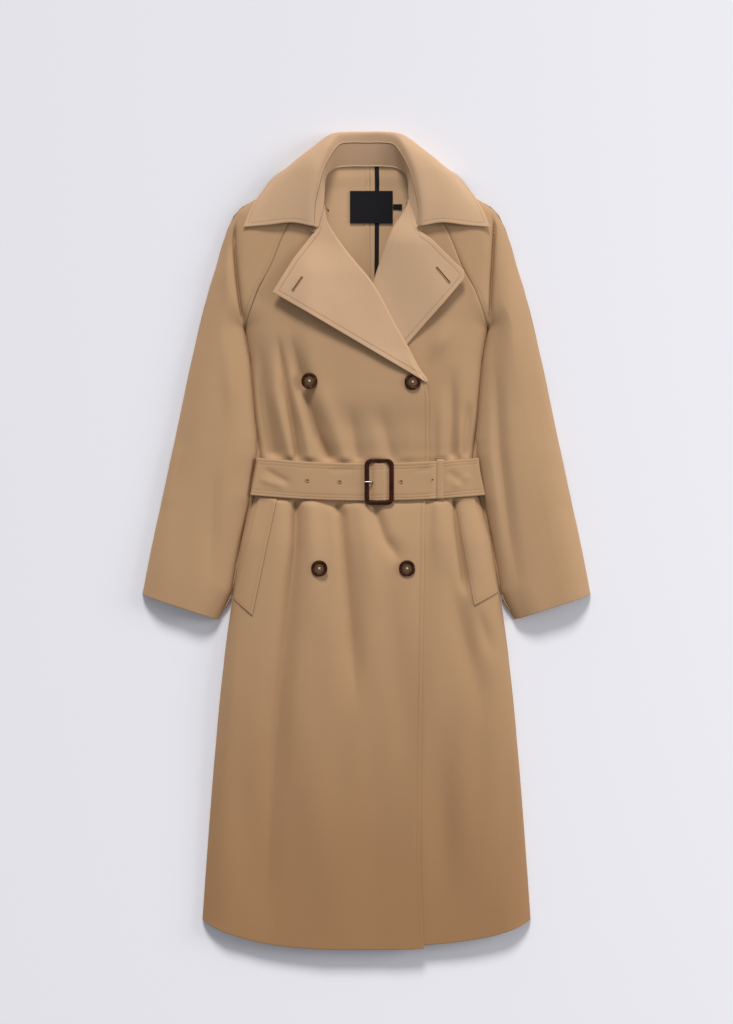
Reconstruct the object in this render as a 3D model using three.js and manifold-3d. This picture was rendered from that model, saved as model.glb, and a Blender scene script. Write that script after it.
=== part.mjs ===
// A belted double-breasted trench coat with raglan sleeves, laid flat on its back.
// Millimetres. +Z is up from the surface it lies on, +Y runs to the collar, +X is the wearer's left.
// Each cloth piece is a wall: a grid of points on its outer face, and the same points moved in by the cloth.
import * as THREE from 'three';
import { mergeVertices } from 'three/addons/utils/BufferGeometryUtils.js';
import Module from 'manifold-3d';

// Driving dimensions
const COAT_LENGTH = 1228; // top of the collar to the hem, as laid
const HALF_LENGTH = COAT_LENGTH / 2;
const CLOTH = 1.6; // one pressed layer, with its facing or seam allowance
const SEAM = 0.3; // between two pieces at a seam
const RIM = CLOTH + SEAM; // where a front's edge rests on the back
const ROUNDING = 45; // how far in from a side the cloth takes to rise to its full height
const OVERLAP_HEIGHT = 2.4; // how far the outer front lies above the inner one
const CHEST_OVERLAP_HEIGHT = 6; // the same where the inner lapel lies between them
const BINDING_THICK = 0.9;
const ARMPIT_Y = 318;
const HEM_RISE = 42; // how much higher the hem is at the side seams
const BACK_SEAM_X = 5; // the centre back seam lies a little to one side
const BUTTON = { radius: 12.2, height: 3.1, rim: 1.9 };
const BELT = { half: 28, thick: 2.4, gap: 0.8, sag: 9, endY: 96, holeRadius: 1.7 };
const BUCKLE = {
  x: 19, width: 44, height: 69, side: 7, end: 5.9, thick: 4, corner: 10, bar: 4, barThick: 2.2,
};
const BELT_HOLES = [-88.5, -40, 9.8, 52, 99];
const PRONG_HOLE = 2; // the hole in use
const PRONG_HOLE_RADIUS = 3.2;

const CLOTH_COLOUR = 0xb8946b;
const FACING_COLOUR = 0xc6a27c;
const INSIDE_COLOUR = 0xb49468;
const BLACK_COLOUR = 0x17141a;
const HORN_COLOUR = 0x3a2015;
const BUCKLE_COLOUR = 0x3a161a;
const METAL_COLOUR = 0xc9c4ba;

const clamp = (v, low, high) => Math.min(high, Math.max(low, v));
const mix = (a, b, t) => a + (b - a) * t;
// 0 at a, 1 at b, with flat ends; a may be the larger.
const ease = (a, b, v) => {
  const t = clamp((v - a) / (b - a), 0, 1);
  return t * t * (3 - 2 * t);
};

// Smooth value of column `key` at height y in a table whose rows are sorted by y; it never overshoots.
function along(table, key, y) {
  const last = table.length - 1;
  if (y <= table[0].y) return table[0][key];
  if (y >= table[last].y) return table[last][key];
  const i = table.findIndex((row, n) => n < last && y < table[n + 1].y);
  const slope = (n) => (table[n + 1][key] - table[n][key]) / (table[n + 1].y - table[n].y);
  const tangent = (n) => {
    if (n === 0) return slope(0);
    if (n === last) return slope(last - 1);
    const [a, b] = [slope(n - 1), slope(n)];
    return a * b <= 0 ? 0 : (2 * a * b) / (a + b);
  };
  const step = table[i + 1].y - table[i].y;
  const t = (y - table[i].y) / step;
  const t2 = t * t;
  const t3 = t2 * t;
  return (2 * t3 - 3 * t2 + 1) * table[i][key] + (t3 - 2 * t2 + t) * step * tangent(i)
    + (3 * t2 - 2 * t3) * table[i + 1][key] + (t3 - t2) * step * tangent(i + 1);
}

// Half width of the body at the side seam, from the hem up to the armpit.
const SIDE_SEAM = [
  { y: -572, x: 247.5 }, { y: -500, x: 242.5 }, { y: -400, x: 235 }, { y: -310, x: 227.5 },
  { y: -193, x: 216 }, { y: -79, x: 201 }, { y: 0, x: 188.5 }, { y: 40, x: 177.5 },
  { y: 66, x: 169 }, { y: 124, x: 159.5 }, { y: 150, x: 163 }, { y: 180, x: 167 },
  { y: 268, x: 174.5 }, { y: 318, x: 183 },
];
// Raglan seam, armpit to neck, the same on the front and the back.
const RAGLAN_SEAM = [
  { y: 318, x: 183 }, { y: 340, x: 176 }, { y: 375, x: 163 }, { y: 411, x: 144 }, { y: 450, x: 128 },
  { y: 471, x: 118 }, { y: 511, x: 97 }, { y: 545, x: 71 }, { y: 563, x: 60 },
];
// Inner edge of the sleeve, cuff to armpit.
const SLEEVE_INNER = [
  { y: -120, x: 223 }, { y: -79, x: 202.8 }, { y: 0, x: 190.5 }, { y: 66, x: 174.2 }, { y: 95, x: 168.2 },
  { y: 124, x: 164.7 }, { y: 180, x: 168.8 }, { y: 268, x: 176.5 }, { y: 320, x: 184.8 },
];
// Outer edge of the sleeve, cuff to shoulder to neck.
const SLEEVE_OUTER = [
  { y: -82, x: 338 }, { y: -1, x: 322 }, { y: 87, x: 302.5 }, { y: 180, x: 283 }, { y: 287, x: 260 },
  { y: 365, x: 241 }, { y: 410, x: 227.5 }, { y: 456, x: 213.8 }, { y: 478, x: 205 }, { y: 496, x: 193 },
  { y: 508, x: 176 }, { y: 520, x: 154 }, { y: 552, x: 110 }, { y: 577, x: 67 },
];
// Edge of the outer front, hem to break, then its roll line up to the neck.
const OUTER_EDGE = [
  { y: -614, x: 86 }, { y: -560, x: 84 }, { y: -480, x: 81 }, { y: -360, x: 81.5 }, { y: -240, x: 83 },
  { y: -90, x: 85.5 }, { y: 60, x: 88 }, { y: 127, x: 94 }, { y: 210, x: 93.5 }, { y: 234.6, x: 90 },
  { y: 255, x: 77 }, { y: 290, x: 58 }, { y: 322, x: 40 }, { y: 381, x: 7.7 }, { y: 427, x: -29.3 },
  { y: 460, x: -52 }, { y: 480, x: -61 }, { y: 516, x: -65 },
];
// Edge of the inner front, hidden up to its break, then its roll line up to the neck.
const INNER_EDGE = [
  { y: -606, x: -72 }, { y: 180, x: -72 }, { y: 235, x: -56 }, { y: 290, x: -32 }, { y: 335, x: -10 },
  { y: 380, x: 9.8 }, { y: 421, x: 24 }, { y: 449, x: 34 }, { y: 468, x: 42 }, { y: 490, x: 56 },
  { y: 516, x: 65 },
];
// Full height of the cloth over the hollow: the belt draws the body in.
const BODY_CREST = [
  { y: -614, z: 22 }, { y: -400, z: 26 }, { y: -150, z: 28 }, { y: -10, z: 26 }, { y: 40, z: 21.5 },
  { y: 62, z: 17.5 }, { y: 128, z: 17.5 }, { y: 150, z: 21.5 }, { y: 210, z: 24.5 }, { y: 300, z: 25.5 },
  { y: 420, z: 24.5 }, { y: 614, z: 23.5 },
];
const SLEEVE_CREST = [
  { y: -120, z: 26 }, { y: 60, z: 28 }, { y: 300, z: 26 }, { y: 420, z: 24.5 }, { y: 614, z: 23.5 },
];
// How high each row of a front crosses its side or raglan seam, its outer or inner edge, and the back seam.
const BODY_ROWS = [
  { side: -572, outer: -614, inner: -606, back: -611 }, { side: -530, outer: -560, inner: -560, back: -560 },
  { side: -470, outer: -480, inner: -480, back: -480 }, { side: -400, outer: -400, inner: -400, back: -400 },
  { side: -320, outer: -320, inner: -320, back: -320 }, { side: -240, outer: -240, inner: -240, back: -240 },
  { side: -170, outer: -170, inner: -170, back: -170 }, { side: -110, outer: -110, inner: -110, back: -110 },
  { side: -60, outer: -60, inner: -60, back: -60 }, { side: -15, outer: -15, inner: -15, back: -20 },
  { side: 20, outer: 17, inner: 17, back: 8 }, { side: 41, outer: 36, inner: 36, back: 33 },
  { side: 54, outer: 49, inner: 49, back: 46 }, { side: 64, outer: 59, inner: 59, back: 56 },
  { side: 95, outer: 87, inner: 87, back: 87 }, { side: 127, outer: 119, inner: 119, back: 118 },
  { side: 136, outer: 129, inner: 129, back: 128 }, { side: 149, outer: 143, inner: 143, back: 141 },
  { side: 180, outer: 168, inner: 168, back: 170 }, { side: 222, outer: 198, inner: 195, back: 215 },
  { side: 268, outer: 226, inner: 225, back: 262 }, { side: 300, outer: 245, inner: 258, back: 296 },
  { side: 318, outer: 268, inner: 292, back: 316 }, { side: 342, outer: 300, inner: 330, back: 342 },
  { side: 375, outer: 340, inner: 368, back: 375 }, { side: 411, outer: 381, inner: 405, back: 411 },
  { side: 450, outer: 427, inner: 438, back: 450 }, { side: 480, outer: 462, inner: 465, back: 480 },
  { side: 511, outer: 490, inner: 492, back: 511 }, { side: 530, outer: 505, inner: 506, back: 532 },
];
const FRONT_TOP = { side: 541, outer: 516, inner: 516 };
const BACK_TOP = [{ side: 541, back: 545 }, { side: 552, back: 553 }, { side: 562, back: 562 }];
// How high each row of a sleeve crosses its inner edge or raglan seam, and its outer edge.
const SLEEVE_ROWS = [
  { inner: -120, outer: -82 }, { inner: -79, outer: -43 }, { inner: -38, outer: -4 },
  { inner: 0, outer: 32 }, { inner: 40, outer: 72 }, { inner: 70, outer: 102 }, { inner: 98, outer: 130 },
  { inner: 126, outer: 156 }, { inner: 165, outer: 194 }, { inner: 210, outer: 238 },
  { inner: 262, outer: 288 }, { inner: 300, outer: 326 }, { inner: 320, outer: 352 },
  { inner: 342, outer: 382 }, { inner: 375, outer: 420 }, { inner: 411, outer: 456 },
  { inner: 450, outer: 485 }, { inner: 480, outer: 505 }, { inner: 511, outer: 525 },
  { inner: 530, outer: 552 }, { inner: 541, outer: 576 },
];
const ARMPIT_ROW = 12; // up to this row a sleeve is a closed tube
// Largest folds: a straight crease from one point to another, its depth (a ridge is positive) and half width.
const FOLDS = [
  { piece: 'outer', fromX: -150, fromY: 235, toX: -140, toY: 128, depth: -5, half: 15 },
  { piece: 'outer', fromX: -128, fromY: 285, toX: -104, toY: 126, depth: -4.5, half: 8 },
  { piece: 'outer', fromX: -116, fromY: 280, toX: -90, toY: 126, depth: 3.5, half: 8 },
  { piece: 'outer', fromX: -106, fromY: 265, toX: -58, toY: 124, depth: -6.5, half: 10 },
  { piece: 'outer', fromX: -70, fromY: 215, toX: -34, toY: 122, depth: 3, half: 11 },
  { piece: 'outer', fromX: -22, fromY: 180, toX: -12, toY: 120, depth: -2.4, half: 11 },
  { piece: 'outer', fromX: 16, fromY: 180, toX: 36, toY: 120, depth: -2.4, half: 11 },
  { piece: 'outer', fromX: -104, fromY: 62, toX: -110, toY: -90, depth: -7.5, half: 10 },
  { piece: 'outer', fromX: -110, fromY: -70, toX: -125, toY: -420, depth: -7, half: 18 },
  { piece: 'outer', fromX: -76, fromY: 50, toX: -72, toY: -140, depth: 3, half: 16 },
  { piece: 'outer', fromX: -38, fromY: 60, toX: -14, toY: -230, depth: -5.5, half: 12 },
  { piece: 'outer', fromX: 8, fromY: 54, toX: 52, toY: -30, depth: -4, half: 13 },
  { piece: 'outer', fromX: 34, fromY: -40, toX: 56, toY: -400, depth: -4, half: 22 },
  { piece: 'inner', fromX: 129, fromY: 240, toX: 129, toY: 126, depth: -4.5, half: 7 },
  { piece: 'inner', fromX: 146, fromY: 190, toX: 150, toY: 128, depth: -4, half: 8 },
  { piece: 'inner', fromX: 108, fromY: 62, toX: 108, toY: -40, depth: 2.5, half: 12 },
  { piece: 'inner', fromX: 128, fromY: 64, toX: 140, toY: -20, depth: -5, half: 8 },
  { piece: 'inner', fromX: 122, fromY: -30, toX: 170, toY: -330, depth: -4, half: 20 },
  { piece: 'leftSleeve', fromX: 194, fromY: 290, toX: 204, toY: -20, depth: -5, half: 10 },
  { piece: 'leftSleeve', fromX: 191, fromY: 480, toX: 183, toY: 345, depth: -7, half: 8 },
  { piece: 'rightSleeve', fromX: 199, fromY: 490, toX: 186, toY: 345, depth: -7, half: 8 },
  { piece: 'rightSleeve', fromX: 262, fromY: 250, toX: 300, toY: -60, depth: -3, half: 24 },
];

const pointsOf = (table) => table.map((row) => [row.x, row.y]);
const SIDE_LINE = pointsOf(SIDE_SEAM);
const INNER_LINE = pointsOf(SLEEVE_INNER);
const OUTER_LINE = pointsOf(SLEEVE_OUTER);
const SHOULDER_LINE = OUTER_LINE.slice(-7);
const ROLL_LINE = pointsOf(OUTER_EDGE).slice(9);
const INNER_ROLL_LINE = pointsOf(INNER_EDGE).slice(2);

// Where a point lies against a stretch: how far off it is, and how far along, 0 to 1.
function againstStretch([ax, ay], [bx, by], x, y) {
  const [dx, dy] = [bx - ax, by - ay];
  const t = clamp(((x - ax) * dx + (y - ay) * dy) / (dx * dx + dy * dy), 0, 1);
  return { off: Math.hypot(x - ax - dx * t, y - ay - dy * t), t };
}

const distanceTo = (line, x, y) => Math.min(
  ...line.slice(1).map((point, i) => againstStretch(line[i], point, x, y).off),
);

// A quarter ellipse: 0 at an edge, 1 from the rounding's end inwards.
const roundOver = (distance) => {
  const q = 1 - clamp(distance / ROUNDING, 0, 1);
  return Math.sqrt(1 - q * q);
};

const beltCentre = (x) => BELT.endY - BELT.sag * (1 - clamp(x / 172, -1, 1) ** 2);
const offBelt = (x, y) => Math.abs(y - beltCentre(x));
const collarEdge = (x) => 549 - 50 * ease(50, 165, Math.abs(x));

// How far the back is lifted by the belt and by the collar that lie under it.
const backRise = (x, y) => Math.max(
  (BELT.thick + 0.4) * (1 - ease(BELT.half + 1, BELT.half + 24, offBelt(x, y))),
  (CLOTH + 0.6) * ease(collarEdge(x) - 18, collarEdge(x) - 4, y),
);

const clearOfBelt = (x, y) => ease(BELT.half + 2, BELT.half + 18, offBelt(x, y));

// What the folds add to a piece, `edge` in from its side: nothing at the side itself or under the belt.
function relief(piece, x, y, edge) {
  const fade = ease(2, 16, edge) * (piece.endsWith('Sleeve') ? 1 : clearOfBelt(x, y));
  const depths = FOLDS.filter((fold) => fold.piece === piece).map((fold) => {
    const { off, t } = againstStretch([fold.fromX, fold.fromY], [fold.toX, fold.toY], x, y);
    return fold.depth * Math.exp(-((off / fold.half) ** 2)) * ease(0, 0.3, t) * ease(1.05, 0.8, t);
  });
  return fade * depths.reduce((sum, depth) => sum + depth, 0);
}

// Height of the body's outer face, with one piece's folds where it names one.
function bodyTop(x, y, piece) {
  const across = Math.abs(x);
  const edge = Math.min(distanceTo(SIDE_LINE, across, y), distanceTo(SHOULDER_LINE, across, y));
  const low = RIM + backRise(x, y);
  const folds = piece ? relief(piece, x, y, edge) : 0;
  return low + (along(BODY_CREST, 'z', y) - low) * roundOver(edge) + folds;
}

// Height of a sleeve's outer face, the same way.
function sleeveTop(x, y, piece) {
  const across = Math.abs(x);
  const edge = Math.min(distanceTo(INNER_LINE, across, y), distanceTo(OUTER_LINE, across, y));
  const low = RIM + backRise(x, y);
  const folds = piece ? relief(piece, across, y, edge) : 0;
  return low + (along(SLEEVE_CREST, 'z', y) - low) * roundOver(edge) + folds;
}

const overlap = (x, y) => {
  const height = mix(OVERLAP_HEIGHT, CHEST_OVERLAP_HEIGHT, ease(165, 225, y));
  return height * ease(450, 395, y) * ease(-120, -80, x);
};
const outerFrontTop = (x, y) => bodyTop(x, y, 'outer') + overlap(x, y);
// The inner front sinks where the outer one covers it.
const sink = (x, y) => 6.5 * ease(84, 40, x) * ease(240, 190, y) * clearOfBelt(x, y);
const innerFrontTop = (x, y) => bodyTop(x, y, 'inner') - sink(x, y);
const coatTop = (x, y) => (
  Math.abs(x) < along(RAGLAN_SEAM, 'x', y) || y < ARMPIT_Y ? bodyTop(x, y) : sleeveTop(x, y)
);
// The highest that a surface comes under a disc.
function highestUnder(top, x, y, radius) {
  const ring = Array.from({ length: 12 }, (_, n) => (n * Math.PI) / 6);
  return Math.max(top(x, y), ...ring.map((a) => top(x + radius * Math.cos(a), y + radius * Math.sin(a))));
}

const material = (color, roughness = 0.85, metalness = 0) => (
  new THREE.MeshStandardMaterial({ color, roughness, metalness })
);
const coat = new THREE.Group();
function add(name, geometry, paint) {
  const mesh = new THREE.Mesh(geometry, paint);
  mesh.name = name;
  coat.add(mesh);
}

// Joins two grids of the same size, one on each face of a wall, into a closed body.
function closedWall(outer, inner, loops = false) {
  const [rows, columns] = [outer.length, outer[0].length];
  const positions = [...outer.flat(), ...inner.flat()].flatMap((p) => [p.x, p.y, p.z]);
  const face = (side, i, j) => side * rows * columns + i * columns + (j % columns);
  const triangles = [];
  const quad = (a, b, c, d) => triangles.push(a, b, c, a, c, d);
  const across = loops ? columns : columns - 1;
  for (let i = 0; i < rows - 1; i += 1) {
    for (let j = 0; j < across; j += 1) {
      quad(face(0, i, j), face(0, i, j + 1), face(0, i + 1, j + 1), face(0, i + 1, j));
      quad(face(1, i, j), face(1, i + 1, j), face(1, i + 1, j + 1), face(1, i, j + 1));
    }
  }
  for (let j = 0; j < across; j += 1) {
    quad(face(0, 0, j), face(1, 0, j), face(1, 0, j + 1), face(0, 0, j + 1));
    quad(face(0, rows - 1, j), face(0, rows - 1, j + 1), face(1, rows - 1, j + 1), face(1, rows - 1, j));
  }
  for (let i = 0; i < rows - 1 && !loops; i += 1) {
    quad(face(0, i, 0), face(0, i + 1, 0), face(1, i + 1, 0), face(1, i, 0));
    const end = columns - 1;
    quad(face(0, i, end), face(1, i, end), face(1, i + 1, end), face(0, i + 1, end));
  }
  return outwards(positions, triangles);
}

// An indexed geometry whose triangles all point out of the body.
function outwards(positions, triangles) {
  const corner = (n) => new THREE.Vector3().fromArray(positions, 3 * n);
  let volume = 0;
  for (let i = 0; i < triangles.length; i += 3) {
    const [a, b, c] = [corner(triangles[i]), corner(triangles[i + 1]), corner(triangles[i + 2])];
    volume += a.dot(b.cross(c));
  }
  const index = volume > 0 ? triangles : [...triangles].reverse();
  const geometry = new THREE.BufferGeometry();
  geometry.setAttribute('position', new THREE.Float32BufferAttribute(positions, 3));
  geometry.setIndex(index);
  geometry.computeVertexNormals();
  return geometry;
}

// The normal of a grid at row i, column j, from its neighbours; it points up where the cloth lies flat.
function gridNormal(grid, i, j) {
  const at = (r, c) => grid[clamp(r, 0, grid.length - 1)][clamp(c, 0, grid[0].length - 1)];
  const alongRows = at(i + 1, j).clone().sub(at(i - 1, j));
  const alongColumns = at(i, j + 1).clone().sub(at(i, j - 1));
  return alongColumns.cross(alongRows).normalize();
}

const CUT_EDGES = () => ['cut', 'cut'];

// A wall under a grid of outer points. `rims` gives, for a row, how its first and last edges are finished:
// 'rolled' ends level with the surface it rests on, 'cut' is square to the surface the coat lies on.
function clothWall(grid, rims, thick = CLOTH) {
  const inner = grid.map((row, i) => row.map((point, j) => {
    const rim = { 0: rims(i)[0], [row.length - 1]: rims(i)[1] }[j];
    const normal = gridNormal(grid, i, j);
    if (normal.z < 0) normal.negate();
    if (rim === 'cut') normal.set(0, 0, 1);
    if (rim === 'rolled') {
      normal.subVectors(point, row[j === 0 ? 1 : j - 1]).setZ(0).normalize();
    }
    return point.clone().addScaledVector(normal, -thick);
  }));
  return closedWall(grid, inner);
}

// A strip whose grid runs through the middle of its thickness.
function centredWall(grid, thick = CLOTH) {
  const normals = grid.map((row, i) => row.map((_, j) => gridNormal(grid, i, j)));
  const moved = (by) => grid.map((row, i) => row.map((p, j) => p.clone().addScaledVector(normals[i][j], by)));
  return closedWall(moved(thick / 2), moved(-thick / 2));
}

const EDGE_FRACTIONS = [0, 0.008, 0.032, 0.07, 0.12];
const fractions = (count) => [
  ...EDGE_FRACTIONS,
  ...Array.from({ length: count }, (_, n) => 0.12 + (0.88 * (n + 1)) / count),
];
const bothEdges = (count) => (
  Array.from({ length: count + 1 }, (_, n) => (1 - Math.cos((Math.PI * n) / count)) / 2)
);

// The hem curves up to the side seams, because the skirt flares. `lift` shortens it at the middle.
const hemY = (x, lift) => {
  const across = Math.abs(x) / SIDE_SEAM[0].x;
  return -HALF_LENGTH + HEM_RISE * across ** 3.2 + lift * ease(1, 0.5, across);
};

// Rows from a side or raglan seam to another edge; near the hem they take its curve.
function bodyGrid(side, rows, edgeKey, edgeX, top, columns, hemLift) {
  return rows.map((row) => {
    const sideTable = row.side < ARMPIT_Y ? SIDE_SEAM : RAGLAN_SEAM;
    const sideX = side * (along(sideTable, 'x', row.side) - (row.side > ARMPIT_Y ? SEAM : 0));
    const hemward = ease(-400, -572, row.side);
    return columns.map((f) => {
      const x = mix(sideX, edgeX(row[edgeKey]), f);
      const atHem = mix(rows[0].side, rows[0][edgeKey], f);
      const y = mix(row.side, row[edgeKey], f) + hemward * (hemY(x, hemLift) - atHem);
      const low = row.side > ARMPIT_Y && f === 0 ? RIM + CLOTH + backRise(x, y) : 0;
      return new THREE.Vector3(x, y, Math.max(low, top(x, y)));
    });
  });
}

function addFronts() {
  const rows = [...BODY_ROWS, FRONT_TOP];
  const rims = (i) => [rows[i].side > ARMPIT_Y ? 'cut' : 'rolled', 'cut'];
  const outerX = (y) => along(OUTER_EDGE, 'x', y);
  const outer = bodyGrid(-1, rows, 'outer', outerX, outerFrontTop, fractions(22), 0);
  add('front_right', clothWall(outer, rims), material(CLOTH_COLOUR));
  const innerX = (y) => along(INNER_EDGE, 'x', y);
  const inner = bodyGrid(1, rows, 'inner', innerX, innerFrontTop, fractions(15), 5);
  add('front_left', clothWall(inner, rims), material(CLOTH_COLOUR));
}

function addBacks() {
  const rows = [...BODY_ROWS, ...BACK_TOP];
  const top = (x, y) => CLOTH + backRise(x, y);
  for (const [name, side] of [['back_right', -1], ['back_left', 1]]) {
    const seamX = () => BACK_SEAM_X + (side * SEAM) / 2;
    const grid = bodyGrid(side, rows, 'back', seamX, top, [0, 0.03, 0.12, 0.4, 0.7, 1], 3);
    add(name, clothWall(grid.map((row) => row.map((p) => p.setZ(top(p.x, p.y)))), CUT_EDGES),
      material(INSIDE_COLOUR));
  }
}

// The bound edge of the centre back seam allowance, pressed to the wearer's left.
function addSeamBinding() {
  const [nearX, farX] = [BACK_SEAM_X + 7.2, BACK_SEAM_X + 13.7];
  const heights = [-590, -400, -200, -20, 28, 40, 54, 87, 120, 132, 146, 300, 480, 520, 534, 546, 559];
  const grid = heights.map((y) => [nearX, farX].map((x) => (
    new THREE.Vector3(x, y, CLOTH + backRise(x, y) + 2 * SEAM + BINDING_THICK)
  )));
  add('seam_binding', clothWall(grid, CUT_EDGES, BINDING_THICK), material(BLACK_COLOUR));
}

function sleeveGrid(side, columns, top) {
  return SLEEVE_ROWS.map((row, i) => {
    const tube = i <= ARMPIT_ROW;
    const innerX = tube ? along(SLEEVE_INNER, 'x', row.inner) : along(RAGLAN_SEAM, 'x', row.inner) + SEAM;
    const outerX = along(SLEEVE_OUTER, 'x', row.outer);
    return columns.map((f) => {
      const x = side * mix(innerX, outerX, f);
      const y = mix(row.inner, row.outer, f);
      return new THREE.Vector3(x, y, top(x, y, tube, f));
    });
  });
}

function addSleeves() {
  for (const [word, side] of [['right', -1], ['left', 1]]) {
    const top = (x, y, tube, f) => {
      const low = !tube && f === 0 ? RIM + CLOTH + backRise(x, y) : 0;
      return Math.max(low, sleeveTop(x, y, `${word}Sleeve`));
    };
    const rims = (i) => [i > ARMPIT_ROW ? 'cut' : 'rolled', 'rolled'];
    const front = sleeveGrid(side, bothEdges(13), top);
    add(`sleeve_front_${word}`, clothWall(front, rims), material(CLOTH_COLOUR));
    const back = sleeveGrid(side, bothEdges(5), (x, y) => CLOTH + backRise(x, y));
    add(`sleeve_back_${word}`, clothWall(back, CUT_EDGES), material(CLOTH_COLOUR));
  }
}

// Each lapel is the facing, turned out along the roll line: rows run from the roll line to its free edge.
const RIGHT_LAPEL_ROWS = [
  { rollY: 237, edgeX: 88.5, edgeY: 236.2 }, { rollY: 243, edgeX: 76, edgeY: 243.4 },
  { rollY: 262, edgeX: 48, edgeY: 259.8 }, { rollY: 295, edgeX: 5, edgeY: 285 },
  { rollY: 332, edgeX: -37, edgeY: 309.6 }, { rollY: 372, edgeX: -77, edgeY: 333 },
  { rollY: 410, edgeX: -112, edgeY: 353.5 }, { rollY: 440, edgeX: -140.5, edgeY: 370 },
  { rollY: 456, edgeX: -110, edgeY: 420 }, { rollY: 466, edgeX: -78, edgeY: 461 },
];
const LEFT_LAPEL_ROWS = [
  { rollY: 335, edgeX: 50, edgeY: 281 }, { rollY: 350, edgeX: 60, edgeY: 292 },
  { rollY: 380, edgeX: 88, edgeY: 324 }, { rollY: 405, edgeX: 116, edgeY: 355 },
  { rollY: 430, edgeX: 146, edgeY: 390 }, { rollY: 455, edgeX: 124, edgeY: 413 },
  { rollY: 480, edgeX: 98, edgeY: 441 }, { rollY: 484, edgeX: 84, edgeY: 455 },
];
const LAPEL_GAP = 0.8;
const turned = (distance) => CLOTH + LAPEL_GAP + 4.3 * ease(0, 7, distance);

function rightLapelTop(x, y) {
  const off = distanceTo(ROLL_LINE, x, y);
  const overButton = 1.8 * ease(290, 255, y) * ease(0, 4, off);
  return outerFrontTop(x, y) + turned(off) + overButton + 3.4 * ease(50, 150, off) * ease(470, 400, y);
}

// The left lapel lies low where the outer front crosses it, and stands off beyond.
function leftLapelTop(x, y) {
  const beyond = x > along(OUTER_EDGE, 'x', y) ? distanceTo(ROLL_LINE, x, y) : 0;
  const roll = 1.2 * ease(0, 7, distanceTo(INNER_ROLL_LINE, x, y));
  return bodyTop(x, y) + CLOTH + LAPEL_GAP + roll + 5.5 * ease(10, 80, beyond) * ease(500, 440, y);
}

function lapel(rows, rollTable, top) {
  const columns = [0, 0.06, 0.15, 0.3, 0.45, 0.6, 0.75, 0.88, 1];
  const grid = rows.map((row) => {
    const rollX = along(rollTable, 'x', row.rollY);
    return columns.map((f) => {
      const [x, y] = [mix(rollX, row.edgeX, f), mix(row.rollY, row.edgeY, f)];
      return new THREE.Vector3(x, y, top(x, y));
    });
  });
  return clothWall(grid, CUT_EDGES);
}

function addLapels() {
  add('lapel_right', lapel(RIGHT_LAPEL_ROWS, OUTER_EDGE, rightLapelTop), material(FACING_COLOUR));
  add('lapel_left', lapel(LEFT_LAPEL_ROWS, INNER_EDGE, leftLapelTop), material(FACING_COLOUR));
}

// Collar sections, centre back to front end. The stand runs from `neck` up to `join`; the leaf goes on from
// `join` over the `roll`, past `fall`, `turn` and `under`, to its `edge`. Behind the shoulders that is
// under the back, and in front of them it lies on the sleeve.
const COLLAR_SECTIONS = [
  {
    neck: [0, 563.5, 6], join: [0, 597, 15], roll: [0, 609.5, 17], fall: [0, 612.7, 11],
    turn: [0, 612.5, 5], under: [0, 607, 0.8], edge: [0, 552, 0.8],
  },
  {
    neck: [25, 563.5, 6], join: [24, 597, 16], roll: [24, 609.5, 18], fall: [25, 612.7, 12],
    turn: [26, 612.1, 5], under: [26, 607, 0.8], edge: [24, 552, 0.8],
  },
  {
    neck: [44, 562, 7.5], join: [40, 594, 19], roll: [44, 606, 22], fall: [51, 609.5, 15],
    turn: [54, 607, 6], under: [53, 601, 0.8], edge: [46, 551, 0.8],
  },
  {
    neck: [57, 553, 12], join: [52, 579, 26], roll: [57, 589, 31], fall: [75, 591, 22],
    turn: [87, 584, 9], under: [87, 578, 0.8], edge: [73, 548, 0.8],
  },
  {
    neck: [62.5, 541, 19], join: [61, 561, 31], roll: [67, 569, 36], fall: [90, 574, 30],
    turn: [112, 565, 14], under: [116, 560, 0.8], edge: [109.5, 550.5, 0.8],
  },
  {
    neck: [64, 531, 23], join: [63.5, 549, 33], roll: [70, 556, 38.5], fall: [96, 560, 33],
    turn: [122, 553, 22], under: [133, 550, 11], edge: [137, 547.5, 4],
  },
  {
    neck: [65, 520, 26], join: [66, 534, 34], roll: [73, 541, 39], fall: [100, 545, 34],
    turn: [131, 537, 26], under: [144, 531, 19], edge: [155.5, 526, 11],
  },
  {
    neck: [68, 499, 27], join: [71, 502, 33], roll: [79, 506, 38], fall: [110, 508, 33],
    turn: [143, 504, 29], under: [160, 500, 25], edge: [174, 496, 20.5],
  },
  {
    neck: [75, 468, 27.6], join: [78, 468, 31], roll: [85, 470, 34], fall: [112, 475.5, 31.5],
    turn: [148, 472, 29.5], under: [168, 470, 28], edge: [185, 469, 26],
  },
];
const OVER_SHOULDER = 6.5; // leaf points above this height lie over the shoulders, not under the back
const collarCurve = (...keys) => {
  const half = COLLAR_SECTIONS.map((section) => keys.map((key) => new THREE.Vector3(...section[key])));
  const mirrored = half.slice(1).reverse().map((row) => row.map((p) => p.clone().setX(-p.x)));
  return [...mirrored, ...half];
};

// A grid through sections of points: smooth across each section, then smooth along the collar.
function loft(sections, across, perSection) {
  const rows = sections.map((row) => (
    row.length === 2
      ? Array.from({ length: across + 1 }, (_, n) => row[0].clone().lerp(row[1], n / across))
      : new THREE.CatmullRomCurve3(row, false, 'centripetal').getPoints(across)
  ));
  const lengths = rows[0].map((_, j) => (
    new THREE.CatmullRomCurve3(rows.map((row) => row[j]), false, 'centripetal')
  ));
  const steps = (sections.length - 1) * perSection;
  return Array.from({ length: steps + 1 }, (_, i) => lengths.map((curve) => curve.getPoint(i / steps)));
}

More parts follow.
